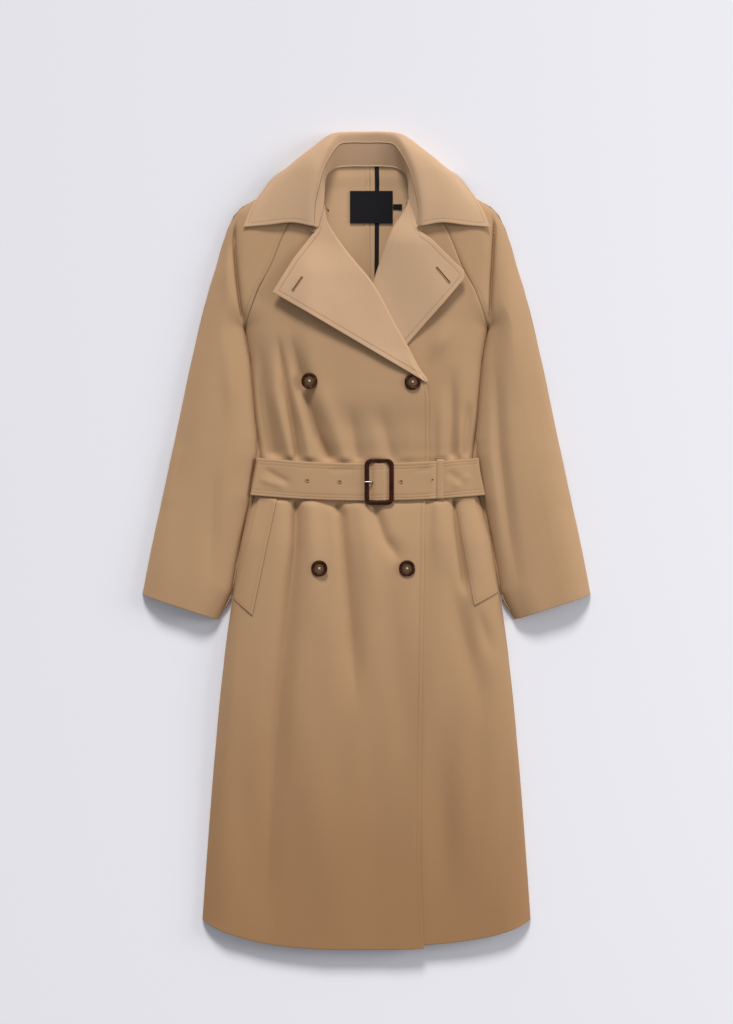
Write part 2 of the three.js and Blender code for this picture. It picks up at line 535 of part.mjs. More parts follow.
function addCollar() {
  const stand = loft(collarCurve('neck', 'join'), 2, 2);
  for (const row of stand) {
    const [before, end] = row.slice(-2);
    end.add(before.clone().sub(end).setLength(SEAM + CLOTH / 2));
  }
  add('collar_stand', centredWall(stand), material(FACING_COLOUR));
  const leaf = loft(collarCurve('join', 'roll', 'fall', 'turn', 'under', 'edge'), 12, 2);
  for (const point of leaf.flat()) {
    const inside = Math.abs(point.x) < along(SLEEVE_OUTER, 'x', point.y) - 1 && point.y < 560;
    const lowest = inside && point.z > OVER_SHOULDER ? coatTop(point.x, point.y) + 1 : 0;
    point.z = Math.max(point.z, lowest + CLOTH / 2);
  }
  add('collar_leaf', centredWall(leaf), material(FACING_COLOUR));
}

// Slanted welts over the hip pockets: a wall made from the front's points, moved out.
const WELT = { foot: [[190, -92], [171, -112]], head: [[161, 58], [133, 54]] };
function addPocketWelts() {
  const corner = ([outer, inner], axis, f) => mix(outer[axis], inner[axis], f);
  for (const [word, side, top] of [['right', -1, outerFrontTop], ['left', 1, innerFrontTop]]) {
    const grid = Array.from({ length: 11 }, (_, i) => Array.from({ length: 5 }, (__, j) => {
      const [x, y] = [0, 1].map((axis) => (
        mix(corner(WELT.foot, axis, j / 4), corner(WELT.head, axis, j / 4), i / 10)
      ));
      return new THREE.Vector3(side * x, y, top(side * x, y) + CLOTH + 0.8);
    }));
    add(`pocket_welt_${word}`, clothWall(grid, CUT_EDGES), material(CLOTH_COLOUR));
  }
}

const wasm = await Module();
wasm.setup();
function solidOf(geometry) {
  const plain = geometry.clone();
  plain.deleteAttribute('normal');
  plain.deleteAttribute('uv');
  const merged = mergeVertices(plain, 1e-4);
  return new wasm.Manifold(new wasm.Mesh({
    numProp: 3,
    vertProperties: merged.attributes.position.array,
    triVerts: new Uint32Array(merged.index.array),
  }));
}
function geometryOf(solid) {
  const mesh = solid.getMesh();
  return outwards(Array.from(mesh.vertProperties), Array.from(mesh.triVerts));
}

// Height of the underside of the belt's front run: it steps down at the edge of the outer front, and rises
// over the bar of its buckle.
const STEP_DOWN = { from: 93, to: 105 };
const beltOverlap = (x) => OVERLAP_HEIGHT * ease(-140, -98, x) * ease(STEP_DOWN.to, STEP_DOWN.from, x);
const barRise = (x) => (BUCKLE.barThick + 2 * SEAM) * ease(13, 5, Math.abs(x - BUCKLE.x));
const beltUnder = (x, y) => bodyTop(x, y) + beltOverlap(x) + BELT.gap + barRise(x);
const beltOver = (x) => beltUnder(x, beltCentre(x)) + BELT.thick;

// The belt is one strap round the waist: over the fronts, down past the side seams and back under the back.
function beltRing() {
  const reach = (y) => along(SIDE_SEAM, 'x', y) + BELT.gap;
  const overBar = [-14, -11, -8, -5, 5, 8, 11, 14].map((dx) => BUCKLE.x + dx);
  const bends = [...overBar, STEP_DOWN.from, STEP_DOWN.to].map((x) => x / reach(BELT.endY));
  const front = [...bothEdges(34).map((f) => 2 * f - 1), ...bends].sort((a, b) => a - b);
  const back = [0.98, 0.5, 0, -0.5, -0.98];
  const rings = [-1, 1].map((edge) => {
    const at = (share, z) => {
      const y = beltCentre(share * reach(BELT.endY)) + edge * BELT.half;
      return new THREE.Vector3(share * reach(y), y, z(share, y));
    };
    const frontZ = (share, y) => beltUnder(share * (reach(y) - BELT.gap), y);
    const under = () => BELT.thick;
    return {
      inner: [...front.map((s) => at(s, frontZ)), ...[1, ...back, -1].map((s) => at(s, under))],
      frontCount: front.length,
    };
  });
  const outer = rings.map(({ inner, frontCount }) => inner.map((point, j) => {
    const [before, after] = [inner.at(j - 1), inner[(j + 1) % inner.length]];
    const direction = after.clone().sub(before).setY(0).normalize();
    const outwardsBy = new THREE.Vector3(-direction.z, 0, direction.x);
    if (j >= frontCount) return point.clone().add(new THREE.Vector3(outwardsBy.x, 0, 0)).setZ(0);
    return point.clone().addScaledVector(outwardsBy, BELT.thick);
  }));
  return closedWall(outer, rings.map(({ inner }) => inner), true);
}

function addBelt() {
  let strap = solidOf(beltRing());
  for (const [n, x] of BELT_HOLES.entries()) {
    const radius = n === PRONG_HOLE ? PRONG_HOLE_RADIUS : BELT.holeRadius;
    const drill = new THREE.CylinderGeometry(radius, radius, 12, 12).rotateX(Math.PI / 2);
    drill.translate(x, beltCentre(x), beltOver(x));
    strap = strap.subtract(solidOf(drill));
  }
  add('belt', geometryOf(strap), material(CLOTH_COLOUR));
  const section = [[1.9, 0], [3.1, 0], [3.1, 0.3], [2.5, 0.7], [1.9, 0.3], [1.9, 0]];
  const profile = section.map(([r, z]) => new THREE.Vector2(r, z));
  for (const [n, x] of BELT_HOLES.entries()) {
    if (n === PRONG_HOLE) continue;
    const eyelet = new THREE.LatheGeometry(profile, 10).rotateX(Math.PI / 2);
    eyelet.translate(x, beltCentre(x), highestUnder(beltOver, x, 0, 3.1) + SEAM);
    add(`belt_eyelet_${n + 1}`, geometryOf(solidOf(eyelet)), material(CLOTH_COLOUR));
  }
}

// A narrow carrier that holds the strap down: it rises over both edges of the belt.
function addBeltLoop() {
  const [x, half, thick] = [111, 5.2, 1.1];
  const centre = beltCentre(x);
  const crest = beltOver(x) + 2 * SEAM + thick;
  const foot = (y) => innerFrontTop(x, y) + 2 * SEAM + thick;
  const path = [
    [centre - 36, foot(centre - 36)], [centre - 31, foot(centre - 31) + 0.6], [centre - 29.6, crest - 0.6],
    [centre - 27, crest], [centre, crest], [centre + 27, crest], [centre + 29.6, crest - 0.6],
    [centre + 31, foot(centre + 31) + 0.6], [centre + 36, foot(centre + 36)],
  ];
  const grid = path.map(([y, z]) => [-half, half].map((dx) => new THREE.Vector3(x + dx, y, z)));
  add('belt_loop', clothWall(grid, CUT_EDGES, thick), material(CLOTH_COLOUR));
}

function roundedRectangle(shape, width, height, radius) {
  const [w, h] = [width / 2, height / 2];
  shape.moveTo(w, radius - h);
  shape.lineTo(w, h - radius);
  shape.absarc(w - radius, h - radius, radius, 0, Math.PI / 2);
  shape.absarc(radius - w, h - radius, radius, Math.PI / 2, Math.PI);
  shape.absarc(radius - w, radius - h, radius, Math.PI, 1.5 * Math.PI);
  shape.absarc(w - radius, radius - h, radius, 1.5 * Math.PI, 2 * Math.PI);
  return shape;
}

// A covered frame with a bar behind the strap, and a prong from the bar through the strap to the frame.
function addBuckle() {
  const { x, width, height, side, end, thick, corner, bar, barThick } = BUCKLE;
  const y = beltCentre(x);
  const barBottom = bodyTop(x, y) + OVERLAP_HEIGHT + BELT.gap + SEAM;
  const railBottom = barBottom + BELT.thick;
  const bevel = 1.3;
  const outline = roundedRectangle(
    new THREE.Shape(), width - 2 * bevel, height - 2 * bevel, corner - bevel,
  );
  outline.holes.push(roundedRectangle(
    new THREE.Path(), width - 2 * (side - bevel), height - 2 * (end - bevel), corner - side + bevel,
  ));
  const frame = new THREE.ExtrudeGeometry(outline, {
    depth: thick - 2 * bevel, bevelThickness: bevel, bevelSize: bevel, bevelSegments: 2, curveSegments: 4,
  });
  frame.translate(x, y, railBottom + bevel);
  const [from, to] = [BELT.half + 2 * SEAM, (height - end) / 2];
  const rod = new THREE.BoxGeometry(bar, 2 * to, barThick).translate(x, y, barBottom + barThick / 2);
  const postHeight = railBottom + 1.5 - barBottom;
  const posts = [-1, 1].map((way) => (
    new THREE.BoxGeometry(bar, to - from, postHeight)
      .translate(x, y + (way * (to + from)) / 2, barBottom + postHeight / 2)
  ));
  const joined = [rod, ...posts].reduce((solid, piece) => solid.add(solidOf(piece)), solidOf(frame));
  add('buckle_frame', geometryOf(joined), material(BUCKLE_COLOUR, 0.35));
  const radius = 1.15;
  const route = [
    [-2.4, 0.95], [-5.8, 0.5], [-8.4, 1.7], [-10, 4.4], [-11.8, 7], [-14.6, 8.1], [-18, 8], [-22.4, 7.9],
  ].map(([dx, up]) => new THREE.Vector3(x + dx, y, barBottom + up));
  const section = new THREE.Shape().absarc(0, 0, radius, 0, 2 * Math.PI);
  const prong = new THREE.ExtrudeGeometry(section, {
    extrudePath: new THREE.CatmullRomCurve3(route, false, 'centripetal'), steps: 11, curveSegments: 7,
  });
  add('buckle_prong', geometryOf(solidOf(prong)), material(METAL_COLOUR, 0.25, 0.9));
}

const BUTTON_PLACES = [
  { name: 'button_upper_right', x: -85.4, y: 238 }, { name: 'button_upper_left', x: 69, y: 236.5 },
  { name: 'button_lower_right', x: -70.5, y: -42.3 }, { name: 'button_lower_left', x: 60.6, y: -42.3 },
];
function addButtons() {
  const { radius, height, rim } = BUTTON;
  const profile = [
    [0, 0], [radius * 0.8, 0], [radius, height * 0.45], [radius * 0.98, height * 0.8],
    [radius - rim / 2, height], [radius - rim, height * 0.85],
    [radius - rim - 0.8, height * 0.55], [0, height * 0.5],
  ].map(([r, z]) => new THREE.Vector2(r, z));
  for (const { name, x, y } of BUTTON_PLACES) {
    const disc = new THREE.LatheGeometry(profile, 16).rotateX(Math.PI / 2);
    disc.translate(x, y, highestUnder(outerFrontTop, x, y, radius) + SEAM);
    add(name, geometryOf(solidOf(disc)), material(HORN_COLOUR, 0.3));
  }
}

// A blank woven label across the back seam, and a folded tab beside it.
function addLabels() {
  const tag = (name, centreX, centreY, width, height, thick, bottom) => {
    const box = new THREE.BoxGeometry(width, height, thick)
      .translate(centreX, centreY, bottom + thick / 2);
    add(name, box, material(BLACK_COLOUR, 0.6));
  };
  tag('neck_label', 7.3, 499.2, 64.5, 49, 0.8, CLOTH + BINDING_THICK + 3 * SEAM);
  tag('size_tab', 46.8, 502, 13.6, 8.4, 1.4, CLOTH + SEAM);
}

// The throat fastening: a wire hook on one end of the stand and an eye on the other.
function addHookAndEye() {
  const wire = 0.8;
  for (const [name, x, arc] of [['collar_hook', -80, 1.5], ['collar_eye', 80, 2]]) {
    const y = 459;
    const bend = new THREE.TorusGeometry(2.8, wire, 6, 14, arc * Math.PI);
    const ends = new THREE.BoxGeometry(7.4, 1.6, 1.4).translate(0, arc === 2 ? 3 : -0.4, 0);
    const joined = geometryOf(solidOf(arc === 2 ? bend : new THREE.TorusGeometry(2.8, wire, 6, 14))
      .add(solidOf(ends)));
    const top = x < 0 ? outerFrontTop(x, y) : leftLapelTop(x, y);
    joined.translate(x, y, top + wire + (x < 0 ? 0.9 : 0.6));
    add(name, joined, material(METAL_COLOUR, 0.35, 0.9));
  }
}

addBacks();
addSeamBinding();
addFronts();
addSleeves();
addLapels();
addCollar();
addPocketWelts();
addBelt();
addBeltLoop();
addBuckle();
addButtons();
addLabels();
addHookAndEye();

export default coat;
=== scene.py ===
"""A belted trench coat laid flat on its back: its cloth, sewing and trim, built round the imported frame.

Lengths are millimetres until a mesh is made, then metres. +Z is up, +Y runs to the collar and
+X is the wearer's left. The outlines and heights repeat those of the solids, on much finer grids.
"""
import math

import bpy
import numpy as np
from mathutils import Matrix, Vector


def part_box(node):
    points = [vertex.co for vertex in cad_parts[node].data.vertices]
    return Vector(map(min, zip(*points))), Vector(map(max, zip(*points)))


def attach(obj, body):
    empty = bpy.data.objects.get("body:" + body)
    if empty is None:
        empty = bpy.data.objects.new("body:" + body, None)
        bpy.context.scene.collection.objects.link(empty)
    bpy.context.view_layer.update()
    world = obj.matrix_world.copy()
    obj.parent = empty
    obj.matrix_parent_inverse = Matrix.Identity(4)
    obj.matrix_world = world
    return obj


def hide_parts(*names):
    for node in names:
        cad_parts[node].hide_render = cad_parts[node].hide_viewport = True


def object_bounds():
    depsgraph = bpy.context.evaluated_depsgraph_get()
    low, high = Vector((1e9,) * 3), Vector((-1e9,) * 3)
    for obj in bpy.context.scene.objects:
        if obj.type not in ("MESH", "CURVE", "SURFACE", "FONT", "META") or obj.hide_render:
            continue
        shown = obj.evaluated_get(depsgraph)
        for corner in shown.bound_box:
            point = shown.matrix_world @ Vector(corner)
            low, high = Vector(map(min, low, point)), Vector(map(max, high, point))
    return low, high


MM = 0.001
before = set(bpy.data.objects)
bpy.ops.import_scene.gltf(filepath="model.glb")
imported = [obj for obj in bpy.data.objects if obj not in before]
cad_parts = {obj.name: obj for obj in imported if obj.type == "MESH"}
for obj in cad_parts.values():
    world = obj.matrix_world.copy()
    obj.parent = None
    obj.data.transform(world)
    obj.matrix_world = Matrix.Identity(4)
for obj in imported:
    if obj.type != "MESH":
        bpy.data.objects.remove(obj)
CAD_BOX = [list(corner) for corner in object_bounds()]

# Driving sizes in mm, as in the solids
HALF_LENGTH = -CAD_BOX[0][1] / MM
HEM_SIDE = 247.5
HEM_RISE = 42
BACK_HEM_LIFT = 3
CLOTH = 1.6
SEAM = 0.3
RIM = CLOTH + SEAM
ROUNDING = 45
OVERLAP = 2.4
CHEST_OVERLAP = 6
BACK_SEAM_X = 5
RAGLAN_FOOT = 318
BELT_END_Y = 96.0
BELT_SAG = 9
BELT_SAG_REACH = 172
BELT_HALF = 28
BELT_THICK = 2.4
BELT_GAP = 0.8
BELT_HOLES = (-88.5, -40, 9.8, 52, 99)
PRONG_HOLE = 2
PRONG_SHIFT = 1.5
EYELET_RADIUS = 2.3
BUCKLE_X = 19
UP = (0.0, 0.0, 1.0)


def ease(a, b, v):
    """0 at a, 1 at b, with flat ends; a may be the larger."""
    t = np.clip((v - a) / (b - a), 0, 1)
    return t * t * (3 - 2 * t)


def mix(a, b, t):
    """a + (b - a) t, so a at t = 0 and b at t = 1."""
    return a + (b - a) * t


def unit(v):
    """v over its own length along the last axis; a zero vector stays zero."""
    return v / np.maximum(np.linalg.norm(v, axis=-1, keepdims=True), 1e-9)


def travelled(points):
    """The distance along a line from its first point to each one: the running sum of its steps."""
    return np.concatenate([[0], np.cumsum(np.linalg.norm(np.diff(points, axis=0), axis=-1))])


def xyz(x, y, z):
    """Points from their coordinates, each of which can be one number for all."""
    return np.stack(np.broadcast_arrays(x, y, z), -1)


def round_angles(count):
    """Evenly spaced angles, once round."""
    return 2 * math.pi * np.arange(count) / count


def dip(distance, half):
    """A bell across a line: 1 on it, and 1/e at `half` away from it."""
    return np.exp(-(distance / half) ** 2)


def hermite(t, a, b, way_a, way_b):
    """The cubic from a at t = 0 to b at t = 1 that leaves along way_a and arrives along way_b."""
    t2, t3 = t * t, t * t * t
    return (
        (2 * t3 - 3 * t2 + 1) * a + (t3 - 2 * t2 + t) * way_a
        + (3 * t2 - 2 * t3) * b + (t3 - t2) * way_b
    )


def smooth_curve(knots, values):
    """A cubic through the values that never overshoots: harmonic-mean tangents, as in the solids."""
    knots, values = np.asarray(knots, float), np.asarray(values, float)
    step, slope = np.diff(knots), np.diff(values) / np.diff(knots)
    product, total = slope[:-1] * slope[1:], slope[:-1] + slope[1:]
    inner = np.where(product > 0, 2 * product / np.where(product > 0, total, 1), 0)
    tangent = np.concatenate([slope[:1], inner, slope[-1:]])

    def at(v):
        """The curve's values at v, and its end values beyond the knots."""
        v = np.clip(v, knots[0], knots[-1])
        i = np.clip(np.searchsorted(knots, v, side="right") - 1, 0, len(step) - 1)
        t = (v - knots[i]) / step[i]
        return hermite(t, values[i], values[i + 1], step[i] * tangent[i], step[i] * tangent[i + 1])
    return at


def outline(*points):
    """An edge given by its (x, y) points in order of y, and x as a smooth function of y."""
    points = np.array(points, float)
    return points, smooth_curve(points[:, 1], points[:, 0])


# Outlines of the pieces, (x, y) from the hem or cuff upwards
CUFF = ((223, -120), (338, -82))
SIDE, side_x = outline(
    (247.5, -572), (242.5, -500), (235, -400), (227.5, -310), (216, -193), (201, -79), (188.5, 0),
    (177.5, 40), (169, 66), (159.5, 124), (163, 150), (167, 180), (174.5, 268), (183, 318))
RAGLAN, raglan_x = outline(
    (183, 318), (176, 340), (163, 375), (144, 411), (128, 450), (118, 471), (97, 511), (71, 545),
    (60, 563))
_, sleeve_in_x = outline(
    (223, -120), (202.2, -79), (188.8, 0), (169.9, 66), (164.1, 95), (159.8, 124), (163.3, 150),
    (167.1, 180), (174.7, 268), (183.8, 320))
SLEEVE_FOLD, sleeve_fold_x = outline(
    (223, -120), (202.2, -79), (189, 0), (183, 31), (176.8, 62), (172.2, 95), (166.6, 126), (164.9, 150),
    (167.4, 180), (174.8, 268), (183.8, 320))
SLEEVE_OUT, sleeve_out_x = outline(
    (338, -82), (322, -1), (302.5, 87), (283, 180), (260, 287), (241, 365), (227.5, 410), (213.8, 456),
    (205, 478), (193, 496), (176, 508), (154, 520), (110, 552), (67, 577))
OUTER_EDGE, outer_edge_x = outline(
    (86, -614), (84, -560), (81, -480), (81.5, -360), (83, -240), (85.5, -90), (88, 60), (94, 127),
    (93.5, 210), (90, 234.6), (77, 255), (58, 290), (40, 322), (7.7, 381), (-29.3, 427), (-52, 460),
    (-61, 480), (-65, 516))
INNER_EDGE, inner_edge_x = outline(
    (-72, -606), (-72, 180), (-56, 235), (-32, 290), (-10, 335), (9.8, 380), (24, 421), (34, 449),
    (42, 468), (56, 490), (65, 516))
SHOULDER = SLEEVE_OUT[-7:]
ROLL = OUTER_EDGE[9:]
INNER_ROLL = INNER_EDGE[2:]

body_crest = smooth_curve(
    (-614, -400, -150, -10, 40, 62, 128, 150, 210, 300, 420, 614),
    (22, 26, 28, 25.5, 20.5, 17.5, 17.5, 19.6, 23.8, 25.5, 24.5, 23.5))
sleeve_crest = smooth_curve((-120, 60, 300, 420, 614), (26, 28, 26, 24.5, 23.5))

# How high each row crosses the side or raglan seam, the outer, inner and back edges
BODY_ROWS = np.array([
    (-572, -614, -606, -611), (-530, -560, -560, -560), (-470, -480, -480, -480), (-400, -400, -400, -400),
    (-320, -320, -320, -320), (-240, -240, -240, -240), (-170, -170, -170, -170), (-110, -110, -110, -110),
    (-60, -60, -60, -60), (-15, -15, -15, -20), (20, 17, 17, 8), (41, 36, 36, 33), (54, 49, 49, 46),
    (64, 59, 59, 56), (95, 87, 87, 87), (127, 119, 119, 118), (136, 129, 129, 128), (149, 143, 143, 141),
    (180, 168, 168, 170), (222, 198, 195, 215), (268, 226, 225, 262), (300, 245, 258, 296),
    (318, 268, 292, 316), (342, 300, 330, 342), (375, 340, 368, 375), (411, 381, 405, 411),
    (450, 427, 438, 450), (480, 462, 465, 480), (511, 490, 492, 511), (530, 505, 506, 532),
    (541, 516, 516, 545)], float)
SLEEVE_ROWS = np.array([
    (-120, -82), (-79, -43), (-38, -4), (0, 32), (40, 72), (70, 102), (98, 130), (126, 156), (165, 194),
    (210, 238), (262, 288), (300, 326), (320, 352), (342, 382), (375, 420), (411, 456), (450, 485),
    (480, 505), (511, 525), (530, 552), (541, 576)], float)
ARMPIT_ROW = 12
OUTER_COLUMN, INNER_COLUMN, BACK_COLUMN = 1, 2, 3
# Where the backs' rows above the table cross the raglan seam and the back seam
NECK_ROWS = ((547, 554, 562), (550, 556, 562))

# The folds of each piece: the crease's points, its depth (a ridge is positive), its half width at each
# end, and how sharp its bottom is, 0 to 1
SHOULDER_CREASE = {
    "right": ((197, 500), (198, 459), (197, 426), (194, 389), (190, 353), (185, 325), (178, 306)),
    "left": ((192, 500), (191, 454), (189, 408), (187, 373), (186, 345), (184, 312)),
}
FOLDS = {
    "outer": (
        (((-157, 312), (-156, 217), (-138, 122)), -7.5, 17, 12, 0.1),
        (((-150, 300), (-137, 212), (-112, 122)), 3.4, 12, 9, 0),
        (((-134, 308), (-121, 232), (-112, 180), (-104, 121)), -7.0, 9, 5, 0.8),
        (((-124, 296), (-110, 225), (-93, 165), (-86, 121)), 3.4, 11, 8, 0),
        (((-114, 306), (-98, 247), (-86, 202), (-73, 157), (-56, 121)), -9.5, 13, 9, 0.6),
        (((-76, 246), (-47, 165), (-32, 121)), 3.4, 14, 11, 0),
        (((-27, 206), (-13, 121)), -3.4, 14, 9, 0.2),
        (((10, 190), (14, 121)), 1.4, 14, 12, 0),
        (((17, 206), (38, 121)), -3.0, 15, 9, 0.2),
        (((66, 190), (62, 122)), 1.4, 14, 12, 0),
        (((-106, 66), (-107, -10), (-116, -90), (-132, -230), (-143, -375), (-150, -600)),
         -8.6, 6, 30, 0.4),
        (((-128, 66), (-134, -40), (-150, -160)), 2.4, 12, 22, 0),
        (((-84, 64), (-78, -30), (-74, -180)), 4.2, 13, 22, 0),
        (((-62, 63), (-46, 54), (-38, 36), (-35, 0), (-25, -120), (-14, -270)), -8.0, 7, 20, 0.5),
        (((-12, 62), (0, -20), (14, -130)), 3.0, 12, 22, 0),
        (((7, 60), (28, 0), (56, -38)), -6.0, 8, 13, 0.6),
        (((28, -30), (43, -150), (52, -270), (50, -500)), -5.0, 17, 30, 0),
        (((-66, -200), (-60, -600)), 3.0, 36, 52, 0),
        (((-170, -230), (-190, -600)), -4.6, 26, 34, 0),
        (((-205, -60), (-222, -420)), 2.6, 16, 22, 0),
        (((12, -300), (4, -640)), -3.4, 26, 40, 0),
        (((-140, -380), (-160, -640)), -3.0, 22, 36, 0.1),
    ),
    "inner": (
        (((133, 330), (88, 262)), 3.4, 12, 12, 0),
        (((128, 262), (130, 121)), -5.0, 10, 6, 0.3),
        (((112, 236), (112, 122)), 2.2, 10, 8, 0),
        (((156, 210), (151, 121)), -6.0, 8, 5, 0.6),
        (((142, 196), (140, 122)), 2.0, 8, 7, 0),
        (((108, 64), (110, -60)), 2.6, 12, 16, 0),
        (((131, 68), (136, 10), (150, -84)), -8.0, 7, 9, 1),
        (((118, -30), (148, -150), (185, -300)), -5.6, 13, 24, 0.1),
        (((165, -96), (192, -186)), -3.4, 8, 15, 0.3),
        (((150, -200), (165, -600)), 2.6, 28, 44, 0),
        (((112, -240), (122, -640)), -3.0, 18, 30, 0),
        (((205, -230), (214, -560)), -3.0, 16, 26, 0),
    ),
    "left_sleeve": (
        (((192, 300), (200, 135), (214, 10), (234, -100)), -6.6, 9, 13, 0.3),
        (((188, 506), (188, 440), (186, 390), (185, 350), (184, 325)), -3.6, 8, 8, 0.5),
        (SHOULDER_CREASE["left"], -6.6, 1.9, 2.4, 0.9),
        (((214, 450), (212, 330), (226, 190)), 2.6, 12, 20, 0),
        (((240, 310), (268, 60)), -2.6, 18, 26, 0),
    ),
    "right_sleeve": (
        (((196, 506), (200, 443), (196, 389), (187, 340), (181, 316)), -3.6, 8, 8, 0.5),
        (SHOULDER_CREASE["right"], -6.6, 1.9, 2.4, 0.9),
        (((207, 470), (211, 400), (203, 330)), 2.4, 11, 12, 0),
        (((208, 320), (197, 150)), 3.0, 12, 12, 0),
        (((262, 250), (300, -70)), -4.0, 22, 30, 0),
        (((226, 120), (238, -100)), -3.4, 12, 18, 0.2),
    ),
}
FOLD_DEPTH = 1.3
RIPPLE = 0.6


def off_line(points, x, y):
    """Distance from a line of points, and how far along it the nearest point is, 0 to 1."""
    points = np.asarray(points, float)
    before = travelled(points)
    best, share = np.full(np.shape(x), np.inf), np.zeros(np.shape(x))
    for (ax, ay), (bx, by), length, start in zip(points[:-1], points[1:], np.diff(before), before):
        t = np.clip(((x - ax) * (bx - ax) + (y - ay) * (by - ay)) / length**2, 0, 1)
        off = np.hypot(x - ax - (bx - ax) * t, y - ay - (by - ay) * t)
        nearer = off < best
        best = np.where(nearer, off, best)
        share = np.where(nearer, (start + t * length) / before[-1], share)
    return best, share


def round_over(distance):
    """A quarter ellipse: 0 at an edge, 1 from the rounding's end inwards."""
    q = 1 - np.clip(distance / ROUNDING, 0, 1)
    return np.sqrt(1 - q * q)


def belt_centre(x):
    """y of the belt's middle line: a parabola that hangs down by its sag at x = 0."""
    return BELT_END_Y - BELT_SAG * (1 - np.clip(x / BELT_SAG_REACH, -1, 1) ** 2)


def off_belt(x, y):
    """How far a point is from the belt's middle line, along y."""
    return np.abs(y - belt_centre(x))


def clear_of_belt(x, y):
    """0 at the belt, and 1 from 8 mm beyond its edges."""
    return ease(BELT_HALF + 0.5, BELT_HALF + 8, off_belt(x, y))


def back_rise(x, y):
    """How far the back is lifted by the belt and by the collar that lie under it."""
    collar_edge = 549 - 50 * ease(50, 165, np.abs(x))
    return np.maximum(
        (BELT_THICK + 0.4) * (1 - ease(BELT_HALF + 1, BELT_HALF + 24, off_belt(x, y))),
        (CLOTH + 0.6) * ease(collar_edge - 18, collar_edge - 4, y))


def tuck(x, y, edge):
    """How far the cloth is drawn in beside the belt's edges, most under the lower one."""
    below = belt_centre(x) - BELT_HALF - y
    above = y - belt_centre(x) - BELT_HALF
    pull = 2.6 * dip(below - 1, 3.6) + 1.2 * dip(above - 1, 3.2)
    return pull * ease(8, 40, edge)


def held(piece, point):
    """Whether the belt holds this end of a fold, which then keeps its full depth there."""
    return "sleeve" not in piece and 40 < point[1] < 126


def relief(piece, x, y, edge):
    """The sum of a piece's folds: each is a bell across its crease, rounded or pointed, that dies out.

    A round one is exp(-r^2) and a pointed one exp(-1.5 r), with r the distance over the half width.
    """
    total = np.zeros(np.shape(x))
    for points, depth, half_start, half_end, sharp in FOLDS[piece]:
        off, t = off_line(points, x, y)
        half = mix(half_start, half_end, t)
        r = off / half
        tip = 1 / half
        bell = mix(np.exp(-r * r), np.exp(-1.5 * (np.sqrt(r * r + tip * tip) - tip)), sharp)
        begins = 1 if held(piece, points[0]) else ease(-0.05, mix(0.6, 0.2, sharp), t)
        ends = 1 if held(piece, points[-1]) else ease(1 + 0.04 * sharp, mix(0.42, 0.8, sharp), t)
        total += FOLD_DEPTH * depth * bell * begins * ends
    return ease(2, 16, edge) * total


def ripple(x, y, seed, height, shortest=45, longest=160, waves=9):
    """Slow waves that cloth never loses: sines across the coat, nearly square to its length, from a seed."""
    draw = np.random.default_rng(seed)
    total = np.zeros(np.shape(x))
    for angle, phase, share in draw.random((waves, 3)):
        length = mix(shortest, longest, share)
        way = (angle - 0.5) * 0.5
        total += np.sin((x * math.cos(way) + y * math.sin(way)) * 2 * math.pi / length + 6.28 * phase)
    return height * total / math.sqrt(waves / 2)


def body_top(x, y, piece=None):
    """The body's outer face: a rim on the back, rounded over to the crest, plus one piece's folds."""
    across = np.abs(x)
    edge = np.minimum(off_line(SIDE, across, y)[0], off_line(SHOULDER, across, y)[0])
    low = RIM + back_rise(x, y)
    z = low + (body_crest(y) - low) * round_over(edge)
    if piece:
        free = clear_of_belt(x, y)
        z = z + free * relief(piece, x, y, edge) - tuck(x, y, edge)
        z = z + free * ease(0, 20, edge) * ripple(x, y, len(piece), RIPPLE)
    return z


def sleeve_top(x, y, piece=None):
    """A sleeve's outer face, rounded over on both sides, plus its folds."""
    across = np.abs(x)
    edge = np.minimum(off_line(SLEEVE_FOLD, across, y)[0], off_line(SLEEVE_OUT, across, y)[0])
    low = RIM + back_rise(x, y)
    z = low + (sleeve_crest(y) - low) * round_over(edge)
    if piece:
        z = z + relief(piece, across, y, edge) + ease(0, 20, edge) * ripple(x, y, len(piece), RIPPLE)
        z = np.where(edge > 3, np.maximum(z, low + 2.2), z)
    return z


def outer_front_top(x, y):
    """The right front: the body's face plus its overlap, which grows at the chest and ends at the sleeve."""
    chest = mix(OVERLAP, CHEST_OVERLAP, ease(165, 225, y))
    return body_top(x, y, "outer") + chest * ease(450, 395, y) * ease(-120, -80, x)


def inner_front_top(x, y):
    """The left front: the body's face, sunk and held a gap below the right front where that covers it."""
    sink = 10.5 * ease(84, 40, x) * ease(240, 190, y) * clear_of_belt(x, y)
    own = body_top(x, y, "inner") - sink
    too_high = np.maximum(own - (outer_front_top(x, y) - CLOTH - 0.5), 0)
    past_edge = x - outer_edge_x(y)
    return own - too_high * ease(16, 0, past_edge) * ease(250, 200, y)


def coat_top(x, y):
    """The body's face inside the raglan seam and below its foot, and the sleeve's face beyond it."""
    on_body = (np.abs(x) < raglan_x(y)) | (y < RAGLAN_FOOT)
    return np.where(on_body, body_top(x, y), sleeve_top(x, y))


def height_at(top, x, y):
    """The height of a surface over one point, as a plain number."""
    return float(top(np.array([float(x)]), np.array([float(y)]))[0])


